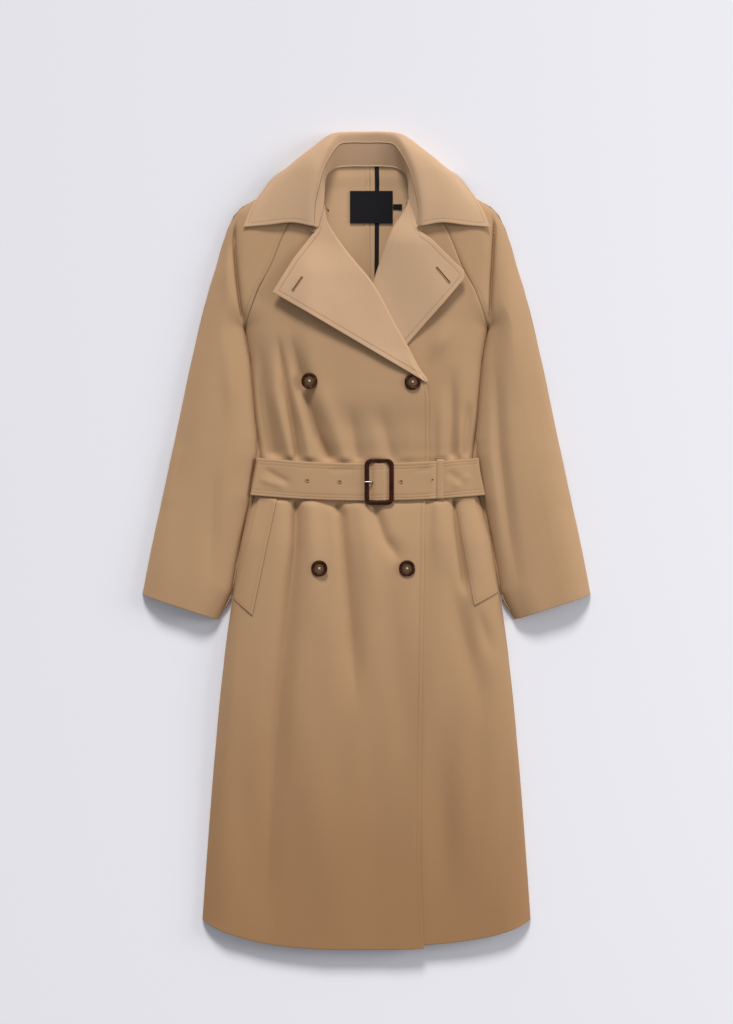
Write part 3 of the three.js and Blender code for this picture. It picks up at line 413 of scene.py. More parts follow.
# Meshes
def hand_over(name, vertices, faces, material, replaces=(), slot=None, uv=None):
    """Puts millimetre vertices and faces into an object that rides on the coat."""
    mesh = bpy.data.meshes.new(name)
    mesh.from_pydata((np.asarray(vertices, float) * MM).tolist(), [], np.asarray(faces).tolist())
    mesh.polygons.foreach_set("use_smooth", np.ones(len(mesh.polygons), bool))
    if uv is not None:
        layer = mesh.uv_layers.new(name="sewing")
        corners = np.zeros(len(mesh.loops), np.int32)
        mesh.loops.foreach_get("vertex_index", corners)
        layer.data.foreach_set("uv", np.asarray(uv, np.float32)[corners].ravel())
    mesh.materials.append(material)
    mesh.validate()
    piece = bpy.data.objects.new(name, mesh)
    bpy.context.scene.collection.objects.link(piece)
    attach(piece, "root")
    if replaces:
        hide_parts(*replaces)
    return piece


def solid(name, shape, material, replaces=(), slot=None):
    """Hands over a closed shape, vertices and faces, with its faces turned outwards."""
    return hand_over(name, shape[0], outward(*shape), material, replaces, slot)


def grid_normals(grid):
    """The unit normal of a grid of points: its slopes along rows and columns, crossed."""
    return unit(np.cross(np.gradient(grid, axis=1), np.gradient(grid, axis=0)))


def grid_faces(rows, columns, start=0, closed=False, flip=False):
    """Quads between the points of a grid."""
    i, j = np.meshgrid(np.arange(rows - 1), np.arange(columns if closed else columns - 1), indexing="ij")
    k = (j + 1) % columns
    quads = np.stack([i * columns + j, i * columns + k, (i + 1) * columns + k, (i + 1) * columns + j], -1)
    quads = quads.reshape(-1, 4) + start
    return quads[:, ::-1] if flip else quads


def wall(outer, inner, closed=False):
    """Two grids of one size, on the two faces of a wall, joined round their borders."""
    rows, columns, _ = outer.shape
    count = rows * columns
    faces = [grid_faces(rows, columns, closed=closed), grid_faces(rows, columns, count, closed, True)]
    index = np.arange(count).reshape(rows, columns)
    borders = [(index[0], True), (index[-1], False)]
    if closed:
        borders = [(np.append(line, line[0]), flip) for line, flip in borders]
    else:
        borders += [(index[:, 0], False), (index[:, -1], True)]
    for line, flip in borders:
        strip = np.stack([line[:-1], line[1:], line[1:] + count, line[:-1] + count], -1)
        faces.append(strip if flip else strip[:, ::-1])
    vertices = np.concatenate([outer.reshape(-1, 3), inner.reshape(-1, 3)])
    return vertices, np.concatenate(faces)


def hem_profile(distance, radius):
    """Half of a folded edge: 0 at the edge, 1 from `radius` inwards, on a quarter circle."""
    q = 1 - np.clip(distance / radius, 0, 1)
    return np.sqrt(np.maximum(1 - q * q, 0.004))


def cloth_wall(grid, rolled_start=False, rolled_end=False, thick=CLOTH, fold=None):
    """A wall of one thickness under a grid of outer points.

    Rows end square, or where they are rolled level with what they rest on; a single value or one for
    each row. `fold` is the distance of each point from a folded edge, which is rounded.
    """
    normal = grid_normals(grid)
    normal *= np.where(normal[..., 2:] < 0, -1, 1)
    for end, neighbour, rolled in ((0, 1, rolled_start), (-1, -2, rolled_end)):
        level = unit((grid[:, end] - grid[:, neighbour]) * [1, 1, 0])
        normal[:, end] = np.where(np.broadcast_to(rolled, (len(grid),))[:, None], level, UP)
    inner = grid - normal * thick
    if fold is None:
        return wall(grid, inner)
    half = hem_profile(fold, 0.75 * thick)[..., None]
    middle = (grid + inner) / 2
    return wall(middle + (grid - middle) * half, middle + (inner - middle) * half)


def row_fractions(width, count, first_gaps, last_gaps):
    """Fractions across a row of each width: fixed gaps in mm at both ends, even steps between."""
    width = np.asarray(width)[:, None]
    first, last = np.array(first_gaps)[None], np.array(last_gaps)[None]
    start, end = first[:, -1:] / width, 1 - last[:, -1:] / width
    even = np.linspace(0, 1, count + 1)[None, 1:-1]
    return np.concatenate([first / width, mix(start, end, even), 1 - last[:, ::-1] / width], axis=1)


def fine_rows(table, spacing, first_gaps=()):
    """Row numbers of a table, as fractions, with even spacing in mm after the first gaps."""
    along = travelled(table.mean(axis=1)[:, None])
    steps = int(along[-1] / spacing)
    distances = np.linspace(0, along[-1], steps + 1)
    if len(first_gaps):
        distances = np.concatenate([first_gaps, distances[distances > first_gaps[-1] + spacing / 2]])
    return np.interp(distances, along, np.arange(len(table)))


def row_ends(table, column, v):
    """The heights of rows v at the table's first edge and at another one, smooth between its rows."""
    number = np.arange(len(table))
    return smooth_curve(number, table[:, 0])(v), smooth_curve(number, table[:, column])(v)


def between(start, end, f):
    """Points of each row from its start to its end, by the row's fractions."""
    return mix(start[:, None], end[:, None], f)


def seam_x(y, side):
    """x of the side seam, or of the raglan seam less its gap, and which of the rows are above its foot."""
    above = y > RAGLAN_FOOT
    return side * (np.where(above, raglan_x(y), side_x(y)) - SEAM * above), above


# Steps of the finest grids in mm: from row to row, and in from a rounded, a sewn and a hem edge
ROW_SPACING = 4.4
CURVED_GAPS = (0, 0.35, 1.1, 2.3, 4, 6.2, 9, 12.5, 17)
SEWN_GAPS = (0, 0.1, 0.4, 0.85, 1.4, 2.6, 4.2, 5.0, 5.6, 6.2, 7, 9)
HEM_GAPS = (0, 0.1, 0.4, 0.85, 1.4, 3)


def hem_y(x, lift):
    """y of the hem: it rises to the side with the power 3.2 of x, plus a lift that fades out there."""
    across = np.abs(x) / HEM_SIDE
    return -HALF_LENGTH + HEM_RISE * across**3.2 + lift * ease(1, 0.5, across)


def onto_hem(x, side_y, column, f, lift):
    """How far points move in y so that the lowest rows take the hem's curve. It fades out upwards."""
    level = mix(BODY_ROWS[0, 0], BODY_ROWS[0, column], f)
    return ease(-400, BODY_ROWS[0, 0], side_y)[:, None] * (hem_y(x, lift) - level)


def body_grid(side, column, edge_at, top, count, hem_lift):
    """Rows from a side or raglan seam to another edge; near the hem they take its curve."""
    v = fine_rows(BODY_ROWS[:, [0, column]], ROW_SPACING, HEM_GAPS)
    side_y, edge_y = row_ends(BODY_ROWS, column, v)
    x0, above = seam_x(side_y, side)
    x1 = edge_at(edge_y)
    f = row_fractions(np.abs(x1 - x0), count, CURVED_GAPS, SEWN_GAPS)
    x = between(x0, x1, f)
    y = between(side_y, edge_y, f) + onto_hem(x, side_y, column, f, hem_lift)
    return xyz(x, y, top(x, y)), above


def seam_dip(grid, line, depth=0.9, half=1.8):
    """Lowers a surface into a sewn seam."""
    off, _ = off_line(line, np.abs(grid[..., 0]), grid[..., 1])
    grid[..., 2] -= depth * dip(off, half)


def groove(grid, offset, distance, depth=0.3, half=0.75):
    """A line of stitching pulls the cloth down, `offset` in from an edge that is `distance` away."""
    grid[..., 2] -= depth * dip(distance - offset, half)


# How far the rows of stitches lie in from their edges
EDGE_STITCH = 5.6
RAGLAN_STITCH = 6.2
WELT_STITCH = 4.5
LAPEL_STITCH = 7
BELT_STITCHES = (4, 8.4)


def make_fronts(cloth):
    """The right front lies over the left one. Each runs from its side and raglan seam to its front edge."""
    for name, side, column, edge_at, edge, top, lift, count in (
        ("front_right", -1, OUTER_COLUMN, outer_edge_x, OUTER_EDGE, outer_front_top, 0, 112),
        ("front_left", 1, INNER_COLUMN, inner_edge_x, INNER_EDGE, inner_front_top, 5, 100),
    ):
        grid, above = body_grid(side, column, edge_at, top, count, lift)
        x, y = grid[..., 0], grid[..., 1]
        seam_dip(grid, RAGLAN)
        to_edge, _ = off_line(edge, x, y)
        if side < 0:
            groove(grid, EDGE_STITCH, to_edge)
        shape = cloth_wall(grid, ~above, fold=np.minimum(to_edge, y - hem_y(x, lift)))
        piece = hand_over(name, *shape, cloth, [name], "cloth")


def make_backs(lining):
    """Flat panels that lie on the surface, with the allowances of the centre back seam pressed apart."""
    for name, side in (("back_right", -1), ("back_left", 1)):
        v = fine_rows(BODY_ROWS[:, [0, BACK_COLUMN]], 9)
        side_y, back_y = map(np.append, row_ends(BODY_ROWS, BACK_COLUMN, v), NECK_ROWS)
        x0, _ = seam_x(side_y, side)
        x1 = np.full(len(x0), BACK_SEAM_X + side * SEAM / 2)
        f = row_fractions(np.abs(x1 - x0), 24, (0, 0.5, 1.5, 4), (0, 0.4, 1.2, 3, 5, 5.8, 6.6, 9))
        x = between(x0, x1, f)
        y = between(side_y, back_y, f) + onto_hem(x, side_y, BACK_COLUMN, f, BACK_HEM_LIFT)
        rise = back_rise(x, y)
        off = x - BACK_SEAM_X
        allowance = 0.35 * ease(6.4, 5.9, np.abs(off)) - 0.5 * dip(off, 0.8)
        shape = wall(xyz(x, y, CLOTH + rise + allowance), xyz(x, y, rise))
        piece = hand_over(name, *shape, lining, [name], "cloth_inside")


def make_binding(black):
    """The bound edge of the seam allowance: a narrow rounded tape along the back seam."""
    low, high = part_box("seam_binding")
    y = np.linspace(low.y / MM, high.y / MM + 3.5, 300)[:, None]
    t = np.array([0, 0.05, 0.15, 0.35, 0.5, 0.65, 0.85, 0.95, 1])[None]
    wander = 0.5 * np.sin(y / 70)
    x = mix(low.x / MM, high.x / MM, t) + wander * ease(562, 540, y)
    base = CLOTH + back_rise(x, y) + 2 * SEAM
    height = 0.15 + 0.75 * np.sqrt(np.maximum(1 - (2 * t - 1) ** 4, 0))
    shape = wall(xyz(x, y, base + height), xyz(x, y, base))
    hand_over("seam_binding_tape", *shape, black, ["seam_binding"], "binding")


def along_crease(f, x0, x1, y, crease):
    """A row's fractions, moved so that one column runs along the crease from the shoulder to the armpit."""
    home, most = 0.45, 0.28
    points = np.array(crease, float)[::-1]
    lead = (np.interp(y, points[:, 1], points[:, 0]) - x0) / (x1 - x0) - home
    lead = np.clip(lead, -most, most) * ease(points[0, 1] - 110, points[0, 1] + 10, y)
    nearest = f[np.arange(len(f)), np.argmin(np.abs(f - home), axis=1)][:, None]
    pull = np.where(f < nearest, ease(0, 1, f / nearest), ease(0, 1, (1 - f) / (1 - nearest)))
    return f + (lead[:, None] + home - nearest) * pull


def make_sleeves(cloth):
    """Each sleeve: a front half, rounded over at both sides and open at the cuff, on a flat back half."""
    for word, side in (("right", -1), ("left", 1)):
        v = fine_rows(SLEEVE_ROWS, ROW_SPACING, HEM_GAPS)
        in_y, out_y = row_ends(SLEEVE_ROWS, 1, v)
        tube = v <= ARMPIT_ROW
        x0 = np.where(tube, sleeve_fold_x(in_y), raglan_x(in_y) + SEAM)
        x1 = sleeve_out_x(out_y)
        width = np.hypot(x1 - x0, out_y - in_y)
        f = row_fractions(width, 92, CURVED_GAPS, CURVED_GAPS)
        f = along_crease(f, x0, x1, (in_y + out_y) / 2, SHOULDER_CREASE[word])
        x = side * between(x0, x1, f)
        y = between(in_y, out_y, f)
        top = sleeve_top(x, y, f"{word}_sleeve")
        sewn = (in_y > RAGLAN_FOOT)[:, None] & (f == 0)
        grid = xyz(x, y, np.where(sewn, np.maximum(top, RIM + CLOTH), top))
        seam_dip(grid, RAGLAN)
        raglan_off, _ = off_line(RAGLAN, np.abs(x), y)
        groove(grid, RAGLAN_STITCH, raglan_off + 100 * (y < 330), 0.25)
        cuff, _ = off_line(CUFF, np.abs(x), y)
        name = f"sleeve_front_{word}"
        piece = hand_over(name, *cloth_wall(grid, tube, True, fold=cuff), cloth, [name], "cloth")
        f = row_fractions(width, 14, (0, 2, 6), (0, 2, 6))
        x = side * between(np.where(tube, sleeve_in_x(in_y), x0), x1, f)
        y = between(in_y, out_y, f)
        rise = back_rise(x, y)
        shape = wall(xyz(x, y, CLOTH + rise), xyz(x, y, rise))
        name = f"sleeve_back_{word}"
        piece = hand_over(name, *shape, cloth, [name], "cloth")


# Lapels: the turned-out facings. Rows run from the roll line to the free edge.
RIGHT_LAPEL = np.array([
    (236.5, 88.8, 236.0), (243, 76, 243.4), (262, 48, 259.8), (295, 5, 285), (332, -37, 309.6),
    (372, -77, 333), (410, -112, 353.5), (440, -140.4, 370), (456, -109, 421), (468, -77, 463),
    (478, -74, 474), (490, -71, 487), (502, -69.5, 500), (512, -67.5, 511)])
LEFT_LAPEL = np.array([
    (335, 50, 281), (350, 60, 292), (380, 88, 324), (405, 116, 355), (430, 146, 390.5),
    (436, 145.5, 402), (456, 97, 450), (474, 78, 463), (482, 74.5, 474), (492, 71.5, 487),
    (503, 69.5, 500), (512, 67.5, 511)])
LAPEL_GAP = 0.8


def right_lapel_top(x, y):
    """The right lapel: over its front, raised by its own thickness, a button below it and its free edge."""
    off, _ = off_line(ROLL, x, y)
    turned = CLOTH + LAPEL_GAP + 4.3 * ease(-12, 64, off)
    over_button = 1.8 * ease(290, 255, y) * ease(0, 4, off)
    lift = 7.6 * ease(14, 120, off) * ease(470, 385, y) - 1.6 * ease(490, 514, y)
    return outer_front_top(x, y) + turned + over_button + lift + 0.5 * ripple(x, y, 3, 1, 60, 150)


def left_lapel_top(x, y):
    """The left lapel: over the body, raised by its own thickness, its roll and its free edge."""
    off, _ = off_line(ROLL, x, y)
    beyond = np.where(x > outer_edge_x(y), off, 0)
    roll = 1.2 * ease(0, 9, off_line(INNER_ROLL, x, y)[0])
    lift = 9 * ease(0, 95, beyond) * ease(500, 440, y) - 1.5 * ease(490, 514, y)
    waves = 0.4 * ripple(x, y, 4, 1, 60, 150) * ease(5, 60, beyond)
    return body_top(x, y) + CLOTH + LAPEL_GAP + roll + lift + waves


def make_lapels(facing):
    """Each lapel: rows from its roll to its free edge, and the roll itself as more columns before them."""
    for name, rows, roll_at, top, count, roll_height, flat, area in (
        ("lapel_right", RIGHT_LAPEL, outer_edge_x, right_lapel_top, 84, 6, (0.24, 0.27), 0.0217),
        ("lapel_left", LEFT_LAPEL, inner_edge_x, left_lapel_top, 60, 3.4, (0.18, 0.22), 0.0184),
    ):
        along = travelled(rows[:, 1:])
        spaced = np.unique(np.concatenate([np.arange(0, along[-1], 2.2), along]))
        roll_y, edge_x, edge_y = (np.interp(spaced, along, rows[:, k]) for k in range(3))
        roll_x = roll_at(roll_y)
        width = np.hypot(edge_x - roll_x, edge_y - roll_y)
        f = row_fractions(np.maximum(width, 14), count, (0, 0.5, 1.2, 2.4), (0, 0.1, 0.4, 0.85, 1.4, 3))
        x, y = between(roll_x, edge_x, f), between(roll_y, edge_y, f)
        grid = xyz(x, y, top(x, y))
        edge, _ = off_line(rows[:, 1:], x, y)
        groove(grid, LAPEL_STITCH, edge)
        under = grid_under_roll(grid, roll_height)
        grid = np.concatenate([under, grid], axis=1)
        edge = np.concatenate([np.full(under.shape[:2], 50.0), edge], axis=1)
        piece = hand_over(name, *cloth_wall(grid, thick=1.5, fold=edge), facing, [name], "facing")


def grid_under_roll(grid, height):
    """Columns that carry a lapel's roll over its line and down to the front's edge, on a half circle."""
    radius = height / 2
    inward = unit((grid[:, 1] - grid[:, 0]) * [1, 1, 0])
    fade = ease(494, 446, grid[:, 0, 1])
    columns = []
    for angle in np.radians([150, 125, 100, 75, 50, 25]):
        point = grid[:, 0] - inward * (radius * math.sin(angle) * 0.7 * fade)[:, None]
        point[:, 2] -= radius * (1 - math.cos(angle)) * mix(0.12, 0.45, fade)
        columns.append(point)
    return np.stack(columns, axis=1)


# Collar sections from the centre back to a front end. The stand runs from neck to join, and the leaf
# from join over the roll, past fall, turn and under, to its edge.
COLLAR = np.array([
    ((0, 563, 4.6), (0, 597, 15), (0, 609.5, 17), (0, 612.7, 11),
     (0, 612.5, 5), (0, 607, 0.8), (0, 552, 0.8)),
    ((25, 563, 4.6), (24, 597, 16), (24, 609.5, 18), (25, 612.7, 12),
     (26, 612.1, 5), (26, 607, 0.8), (24, 552, 0.8)),
    ((44, 561, 5.4), (40, 594, 19), (44, 606, 22), (51, 609.5, 15),
     (54, 607, 6), (53, 601, 0.8), (46, 551, 0.8)),
    ((57, 553, 10), (52, 579, 26), (58, 589, 31), (75, 591, 22),
     (87, 584, 9), (87, 578, 0.8), (73, 548, 0.8)),
    ((62, 541, 18), (61.5, 561, 31), (68, 569, 36), (90, 574, 30),
     (112, 565, 14), (116, 560, 0.8), (109.5, 550.5, 0.8)),
    ((63, 531, 21), (66, 549, 33), (73, 556, 38.3), (97, 560, 33.5),
     (122, 553, 22), (133, 550, 11), (137, 547.5, 4)),
    ((63.5, 520, 24), (70, 534, 34), (77.5, 541, 38.8), (101, 545, 34.5),
     (131, 537, 26), (144, 531, 19), (155.5, 526, 11)),
    ((65, 499, 26), (77, 502, 33), (84, 505, 37.5), (110, 508, 34),
     (143, 504, 29), (160, 500, 25), (174, 496, 20.5)),
    ((72, 469, 27.5), (79, 469, 31), (86, 470, 34), (112, 474.5, 32.5),
     (148, 471, 30), (168, 469.5, 28), (185, 468.3, 26)),
], float)


def through(points, t):
    """A smooth curve through points along the first axis, at places t from 0 to 1.

    A knot's place is the running sum of the square roots of the gaps. Each tangent is the weighted mean
    of the slopes on both sides, and between points it is a cubic.
    """
    step = np.diff(points, axis=0)
    gaps = np.sqrt(np.linalg.norm(step, axis=-1)).mean(axis=tuple(range(1, points.ndim - 1)))
    knots = np.concatenate([[0], np.cumsum(np.maximum(gaps, 1e-6))])
    knots /= knots[-1]
    upright = (-1,) + (1,) * (points.ndim - 1)
    span = np.diff(knots).reshape(upright)
    slope = step / span
    inner = (slope[:-1] * span[1:] + slope[1:] * span[:-1]) / (span[1:] + span[:-1])
    tangent = np.concatenate([slope[:1], inner, slope[-1:]])
    i = np.clip(np.searchsorted(knots, t, side="right") - 1, 0, len(span) - 1)
    u = ((t - knots[i]) / np.diff(knots)[i]).reshape(upright)
    return hermite(u, points[i], points[i + 1], span[i] * tangent[i], span[i] * tangent[i + 1])


def collar_surface(first, last, across, along):
    """The collar between two of its section points, as a grid from the right end to the left one."""
    half = COLLAR[:, first:last + 1]
    mirrored = half[:0:-1] * [-1, 1, 1]
    lengths = through(np.concatenate([mirrored, half]), along)
    return np.swapaxes(through(np.swapaxes(lengths, 0, 1), across), 0, 1)


COLLAR_CLOTH = 2.0


def make_collar(facing, thread):
    """The leaf, kept above the coat that it lies on, with its row of stitches, and the stand below it."""
    ends = np.array([0, 0.0004, 0.0014, 0.003, 0.005, 0.009])
    along = np.concatenate([ends, np.linspace(0.014, 0.986, 230), 1 - ends[::-1]])
    edge = 1 - np.array([0, 0.0012, 0.004, 0.008, 0.014, 0.025, 0.04])[::-1]
    across = np.concatenate([np.linspace(0, 0.95, 54), edge])
    leaf = collar_surface(1, 6, across, along)
    x, y, z = leaf[..., 0], leaf[..., 1], leaf[..., 2]
    inside = (np.abs(x) < sleeve_out_x(y) - 1) & (y < 560) & (z > 6.5)
    lowest = np.where(inside, coat_top(x, y) + 1, 0)
    leaf[..., 2] = np.maximum(z, lowest + COLLAR_CLOTH / 2)
    leaf[..., 2] += 0.5 * ripple(x, y, 8, 1, 50, 120) * ease(6, 16, z) * ease(0, 0.3, across)[None]
    steps = np.linalg.norm(np.diff(leaf, axis=1), axis=2)
    off_long = np.concatenate([np.cumsum(steps[:, ::-1], axis=1)[:, ::-1], np.zeros((len(leaf), 1))], axis=1)
    steps = np.linalg.norm(np.diff(leaf, axis=0), axis=2)
    run = np.concatenate([np.zeros((1, leaf.shape[1])), np.cumsum(steps, axis=0)])
    off_edge = np.minimum(off_long, np.minimum(run, run[-1:] - run))
    normal = grid_normals(leaf)
    if normal[3, 20, 2] < 0:
        normal = -normal
    stitch = 0.3 * dip(off_edge - EDGE_STITCH, 0.8)[..., None]
    half = COLLAR_CLOTH / 2 * hem_profile(off_edge, 1.6)[..., None]
    shape = wall(leaf + normal * (half - stitch), leaf - normal * half)
    piece = solid("collar_leaf", shape, facing, ["collar_leaf"], "facing")
    top = leaf + normal * (half - 0.12)
    rows, columns = np.arange(leaf.shape[0]), np.arange(leaf.shape[1])
    j = (off_long > EDGE_STITCH).sum(axis=1) - 1
    long_line = top[rows, j][(run[rows, j] > EDGE_STITCH) & (run[-1, j] - run[rows, j] > EDGE_STITCH)]
    kept = columns[6:j[20]]
    first = (run < EDGE_STITCH).sum(axis=0)[kept]
    last = (run < run[-1:] - EDGE_STITCH).sum(axis=0)[kept] - 1
    stitches([long_line, top[first, kept], top[last, kept]], "leaf_stitches", thread)
    stand = collar_surface(0, 1, np.linspace(0, 1, 16), along)
    stand[:, -1] -= unit(stand[:, -1] - stand[:, -2]) * 0.9
    normal = grid_normals(stand)
    shape = wall(stand + normal * 0.8, stand - normal * 0.8)
    piece = solid("collar_stand", shape, facing, ["collar_stand"], "facing")


def outward(vertices, faces):
    """Turns the faces of a closed mesh round if its volume, by the sum of corner products, is negative."""
    a, b, c, d = (vertices[faces[:, k]] for k in range(4))
    volume = np.einsum("ij,ij->i", a, np.cross(b, c)).sum() + np.einsum("ij,ij->i", a, np.cross(c, d)).sum()
    return faces if volume > 0 else faces[:, ::-1]


WELT_LIFT = CLOTH + 0.8
# The corners of each welt: foot and head, outer then inner
WELTS = {
    "right": (((200, -89), (171, -113)), ((162, 64.5), (134.5, 62.5))),
    "left": (((198, -78.5), (161, -98)), ((162, 64.5), (132, 62.5))),
}


def make_welts(cloth):
    """A flat strip over each front, between the four corners, with rounded edges and a row of stitches."""
    for word, side, top in (("right", -1, outer_front_top), ("left", 1, inner_front_top)):
        (foot_out, foot_in), (head_out, head_in) = np.array(WELTS[word], float)
        v = np.concatenate([[0, 0.0008, 0.003, 0.006, 0.01], np.linspace(0.02, 1, 60)])[:, None, None]
        u = np.array([0, 0.004, 0.015, 0.03, 0.06, 0.12, 0.2, 0.35, 0.5, 0.65, 0.8, 0.88, 0.94, 0.97,
                      0.985, 0.996, 1])[None, :, None]
        point = mix(mix(foot_out, foot_in, u), mix(head_out, head_in, u), v)
        x, y = side * point[..., 0], point[..., 1]
        grid = xyz(x, y, top(x, y) + WELT_LIFT)
        edge, _ = off_line([(side * p[0], p[1]) for p in (head_out, foot_out, foot_in, head_in)], x, y)
        groove(grid, WELT_STITCH, edge, 0.25)
        name = f"pocket_welt_{word}"
        piece = solid(name, cloth_wall(grid, fold=edge), cloth, [name], "cloth")


# The belt: one strap round the waist, over the fronts and back under the back
BELT_FLAT = 15.4


def belt_under(x, y):
    """The strap's under face: over the body and buckle bar, but bridging the dip down to each side."""
    step = OVERLAP * ease(-140, -98, x) * ease(105, 93, x)
    bar = 2.8 * ease(13, 5, np.abs(x - BUCKLE_X))
    above = body_top(x, y) + step + BELT_GAP + bar - BELT_FLAT
    return BELT_FLAT + (above + np.sqrt(above * above + 3)) / 2


def belt_surface(x, y):
    """How far the strap's face is off level, by the drag lines that the pull at its sides leaves in it."""
    across = (y - belt_centre(x)) / BELT_HALF
    drag = 0.0
    for x0, y0, x1, y1, depth, half in (
        (-158, 14, -110, -8, -1.0, 5), (-165, -2, -118, -14, 0.8, 5), (118, 14, 150, -12, -0.9, 6),
        (128, -16, 158, 6, 0.7, 6), (-60, 16, -12, 19, -0.4, 4), (70, 14, 104, 18, -0.4, 4),
    ):
        off, t = off_line([(x0, y0), (x1, y1)], x, across * BELT_HALF)
        drag = drag + 1.7 * depth * dip(off, half) * ease(0, 0.3, t) * ease(1, 0.7, t)
    return drag + 0.25 * np.sin(x / 17 + 2 * across) * ease(170, 120, np.abs(x))


def belt_face(x, y):
    """The height of the strap's outer face in front: its under face, its thickness and its drag lines."""
    return belt_under(x, y) + BELT_THICK + belt_surface(x, y)


def make_belt(cloth):
    """The strap as one closed band: its front run over the coat, a turn at each side, and flat behind."""
    reach = side_x(BELT_END_Y) + BELT_GAP
    front = np.sin(np.linspace(-1, 1, 261) * math.pi / 2)
    back = np.array([0.99, 0.94, 0.8, 0.5, 0.2, 0, -0.2, -0.5, -0.8, -0.94, -0.99])
    gaps = np.array([0, 0.1, 0.45, 1, 1.6, 2.6, 3.4, 4, 4.6, 6, 7.6, 8.4, 9, 11])
    half = np.concatenate([gaps, np.linspace(13, 2 * BELT_HALF - 13, 16)])
    offsets = np.concatenate([half, 2 * BELT_HALF - gaps[::-1]]) - BELT_HALF
    share = np.concatenate([front, [1.0, 1.0, 1.0], back, [-1.0, -1.0, -1.0]])
    y = belt_centre(share * reach)[None, :] + offsets[:, None]
    width = side_x(y) + BELT_GAP
    x = share[None, :] * (width + np.where(share > 0, 6.6, 3.0)[None, :])
    count = len(front)
    behind = slice(count + 3, -3)
    z = belt_under(share[None, :] * (width - BELT_GAP), y)
    end_z = z[:, count - 1:count]
    z[:, count:count + 3] = mix(end_z, BELT_THICK, np.array([[0.35, 0.7, 1.0]]))
    z[:, -3:] = mix(BELT_THICK, end_z, np.array([[0, 0.35, 0.7]]))
    z[:, behind] = BELT_THICK
    inner = xyz(x, y, z)
    way = unit((np.roll(inner, -1, axis=1) - np.roll(inner, 1, axis=1)) * [1, 0, 1])
    outer = inner + xyz(-way[..., 2], 0, way[..., 0]) * BELT_THICK
    edge = BELT_HALF - np.abs(offsets)[:, None]
    sunk = 0.3 * sum(dip(edge - row, 0.8) for row in BELT_STITCHES)
    outer[:, :count, 2] += (belt_surface(x, y) - sunk)[:, :count]
    outer[:, behind, 2] = 0
    outer[..., 2] = np.maximum(outer[..., 2], 0)
    middle, profile = (outer + inner) / 2, hem_profile(edge, 1.5)[..., None]
    high = middle + (outer - middle) * profile
    high[:, behind, 2] = outer[:, behind, 2]
    shape = wall(high, middle + (inner - middle) * profile, closed=True)
    piece = solid("belt", shape, cloth, ["belt"], "cloth")
    punch(piece)


def hole_at(n):
    """x and y of an eyelet hole. The prong draws its own a little aside."""
    x = BELT_HOLES[n] - (PRONG_SHIFT if n == PRONG_HOLE else 0)
    return x, float(belt_centre(x))


def punch(strap):
    """Cuts the eyelet holes through the front run of the strap."""
    for n in range(len(BELT_HOLES)):
        x, y = hole_at(n)
        bpy.ops.mesh.primitive_cylinder_add(
            vertices=24, radius=(1.5 if n == PRONG_HOLE else 1.0) * MM, depth=9 * MM,
            location=(x * MM, y * MM, float(belt_face(x, y)) * MM))
        drill = bpy.context.object
        cut = strap.modifiers.new("hole", "BOOLEAN")
        cut.operation, cut.object, cut.solver = "DIFFERENCE", drill, "EXACT"
        bpy.context.view_layer.objects.active = strap
        bpy.ops.object.modifier_apply(modifier="hole")
        bpy.data.objects.remove(drill)


# Sewing: every stitch is a short rounded thread
STITCH = 2.6
STITCH_GAP = 0.7
THREAD = 0.27
# A stitch and the gap after it are this many steps of the line, and the thread shows over so many
STITCH_STEPS = 11
SHOWN_STEPS = 9


def resample(points, step):
    """Points at even steps along a line, in 3-D."""
    points = np.asarray(points, float)
    along = travelled(points)
    at = np.arange(0, along[-1], step)
    return np.stack([np.interp(at, along, points[:, k]) for k in range(3)], -1)


def stitches(lines, name, thread):
    """One mesh with all the stitches of some lines: each is a six-sided thread that tapers at both ends."""
    starts, ends = [], []
    for line in lines:
        fine = resample(line, (STITCH + STITCH_GAP) / STITCH_STEPS)
        count = (len(fine) - 1) // STITCH_STEPS
        starts.append(fine[:count * STITCH_STEPS:STITCH_STEPS])
        ends.append(fine[SHOWN_STEPS:count * STITCH_STEPS:STITCH_STEPS])
    start, end = np.concatenate(starts), np.concatenate(ends)
    way = unit(end - start)
    side = unit(np.cross(way, UP))
    up = np.cross(side, way)
    angle = round_angles(6)
    ring = np.cos(angle)[:, None, None] * side + np.sin(angle)[:, None, None] * up
    rings = []
    for t, r in ((0, 0.3), (0.12, 0.9), (0.5, 1.05), (0.88, 0.9), (1, 0.3)):
        arch = 0.18 * (1 - (2 * t - 1) ** 2) * up
        rings.append(mix(start, end, t)[None] + arch + ring * THREAD * r)
    vertices = np.stack(rings).transpose(2, 0, 1, 3)
    quads = grid_faces(5, 6, closed=True)[None] + 30 * np.arange(len(start))[:, None, None]
    return hand_over(name, vertices.reshape(-1, 3), quads.reshape(-1, 4)[:, ::-1], thread)


def inset(points, distance):
    """A line moved to its left by a distance, with its corners kept sharp."""
    points = np.asarray(points, float)
    way = unit(np.diff(points, axis=0))
    normal = np.stack([-way[:, 1], way[:, 0]], -1)
    corner = unit(np.concatenate([normal[:1], normal[:-1] + normal[1:], normal[-1:]]))
    straight = np.concatenate([normal[:1], normal])
    return points + corner * distance / np.sum(corner * straight, axis=1, keepdims=True)


def over(line, top, lift=0.0, step=2.0):
    """A plan line laid on a surface."""
    line = np.asarray(line, float)
    fine = resample(np.column_stack([line, np.zeros(len(line))]), step)[:, :2]
    return np.column_stack([fine, top(*fine.T) + lift])


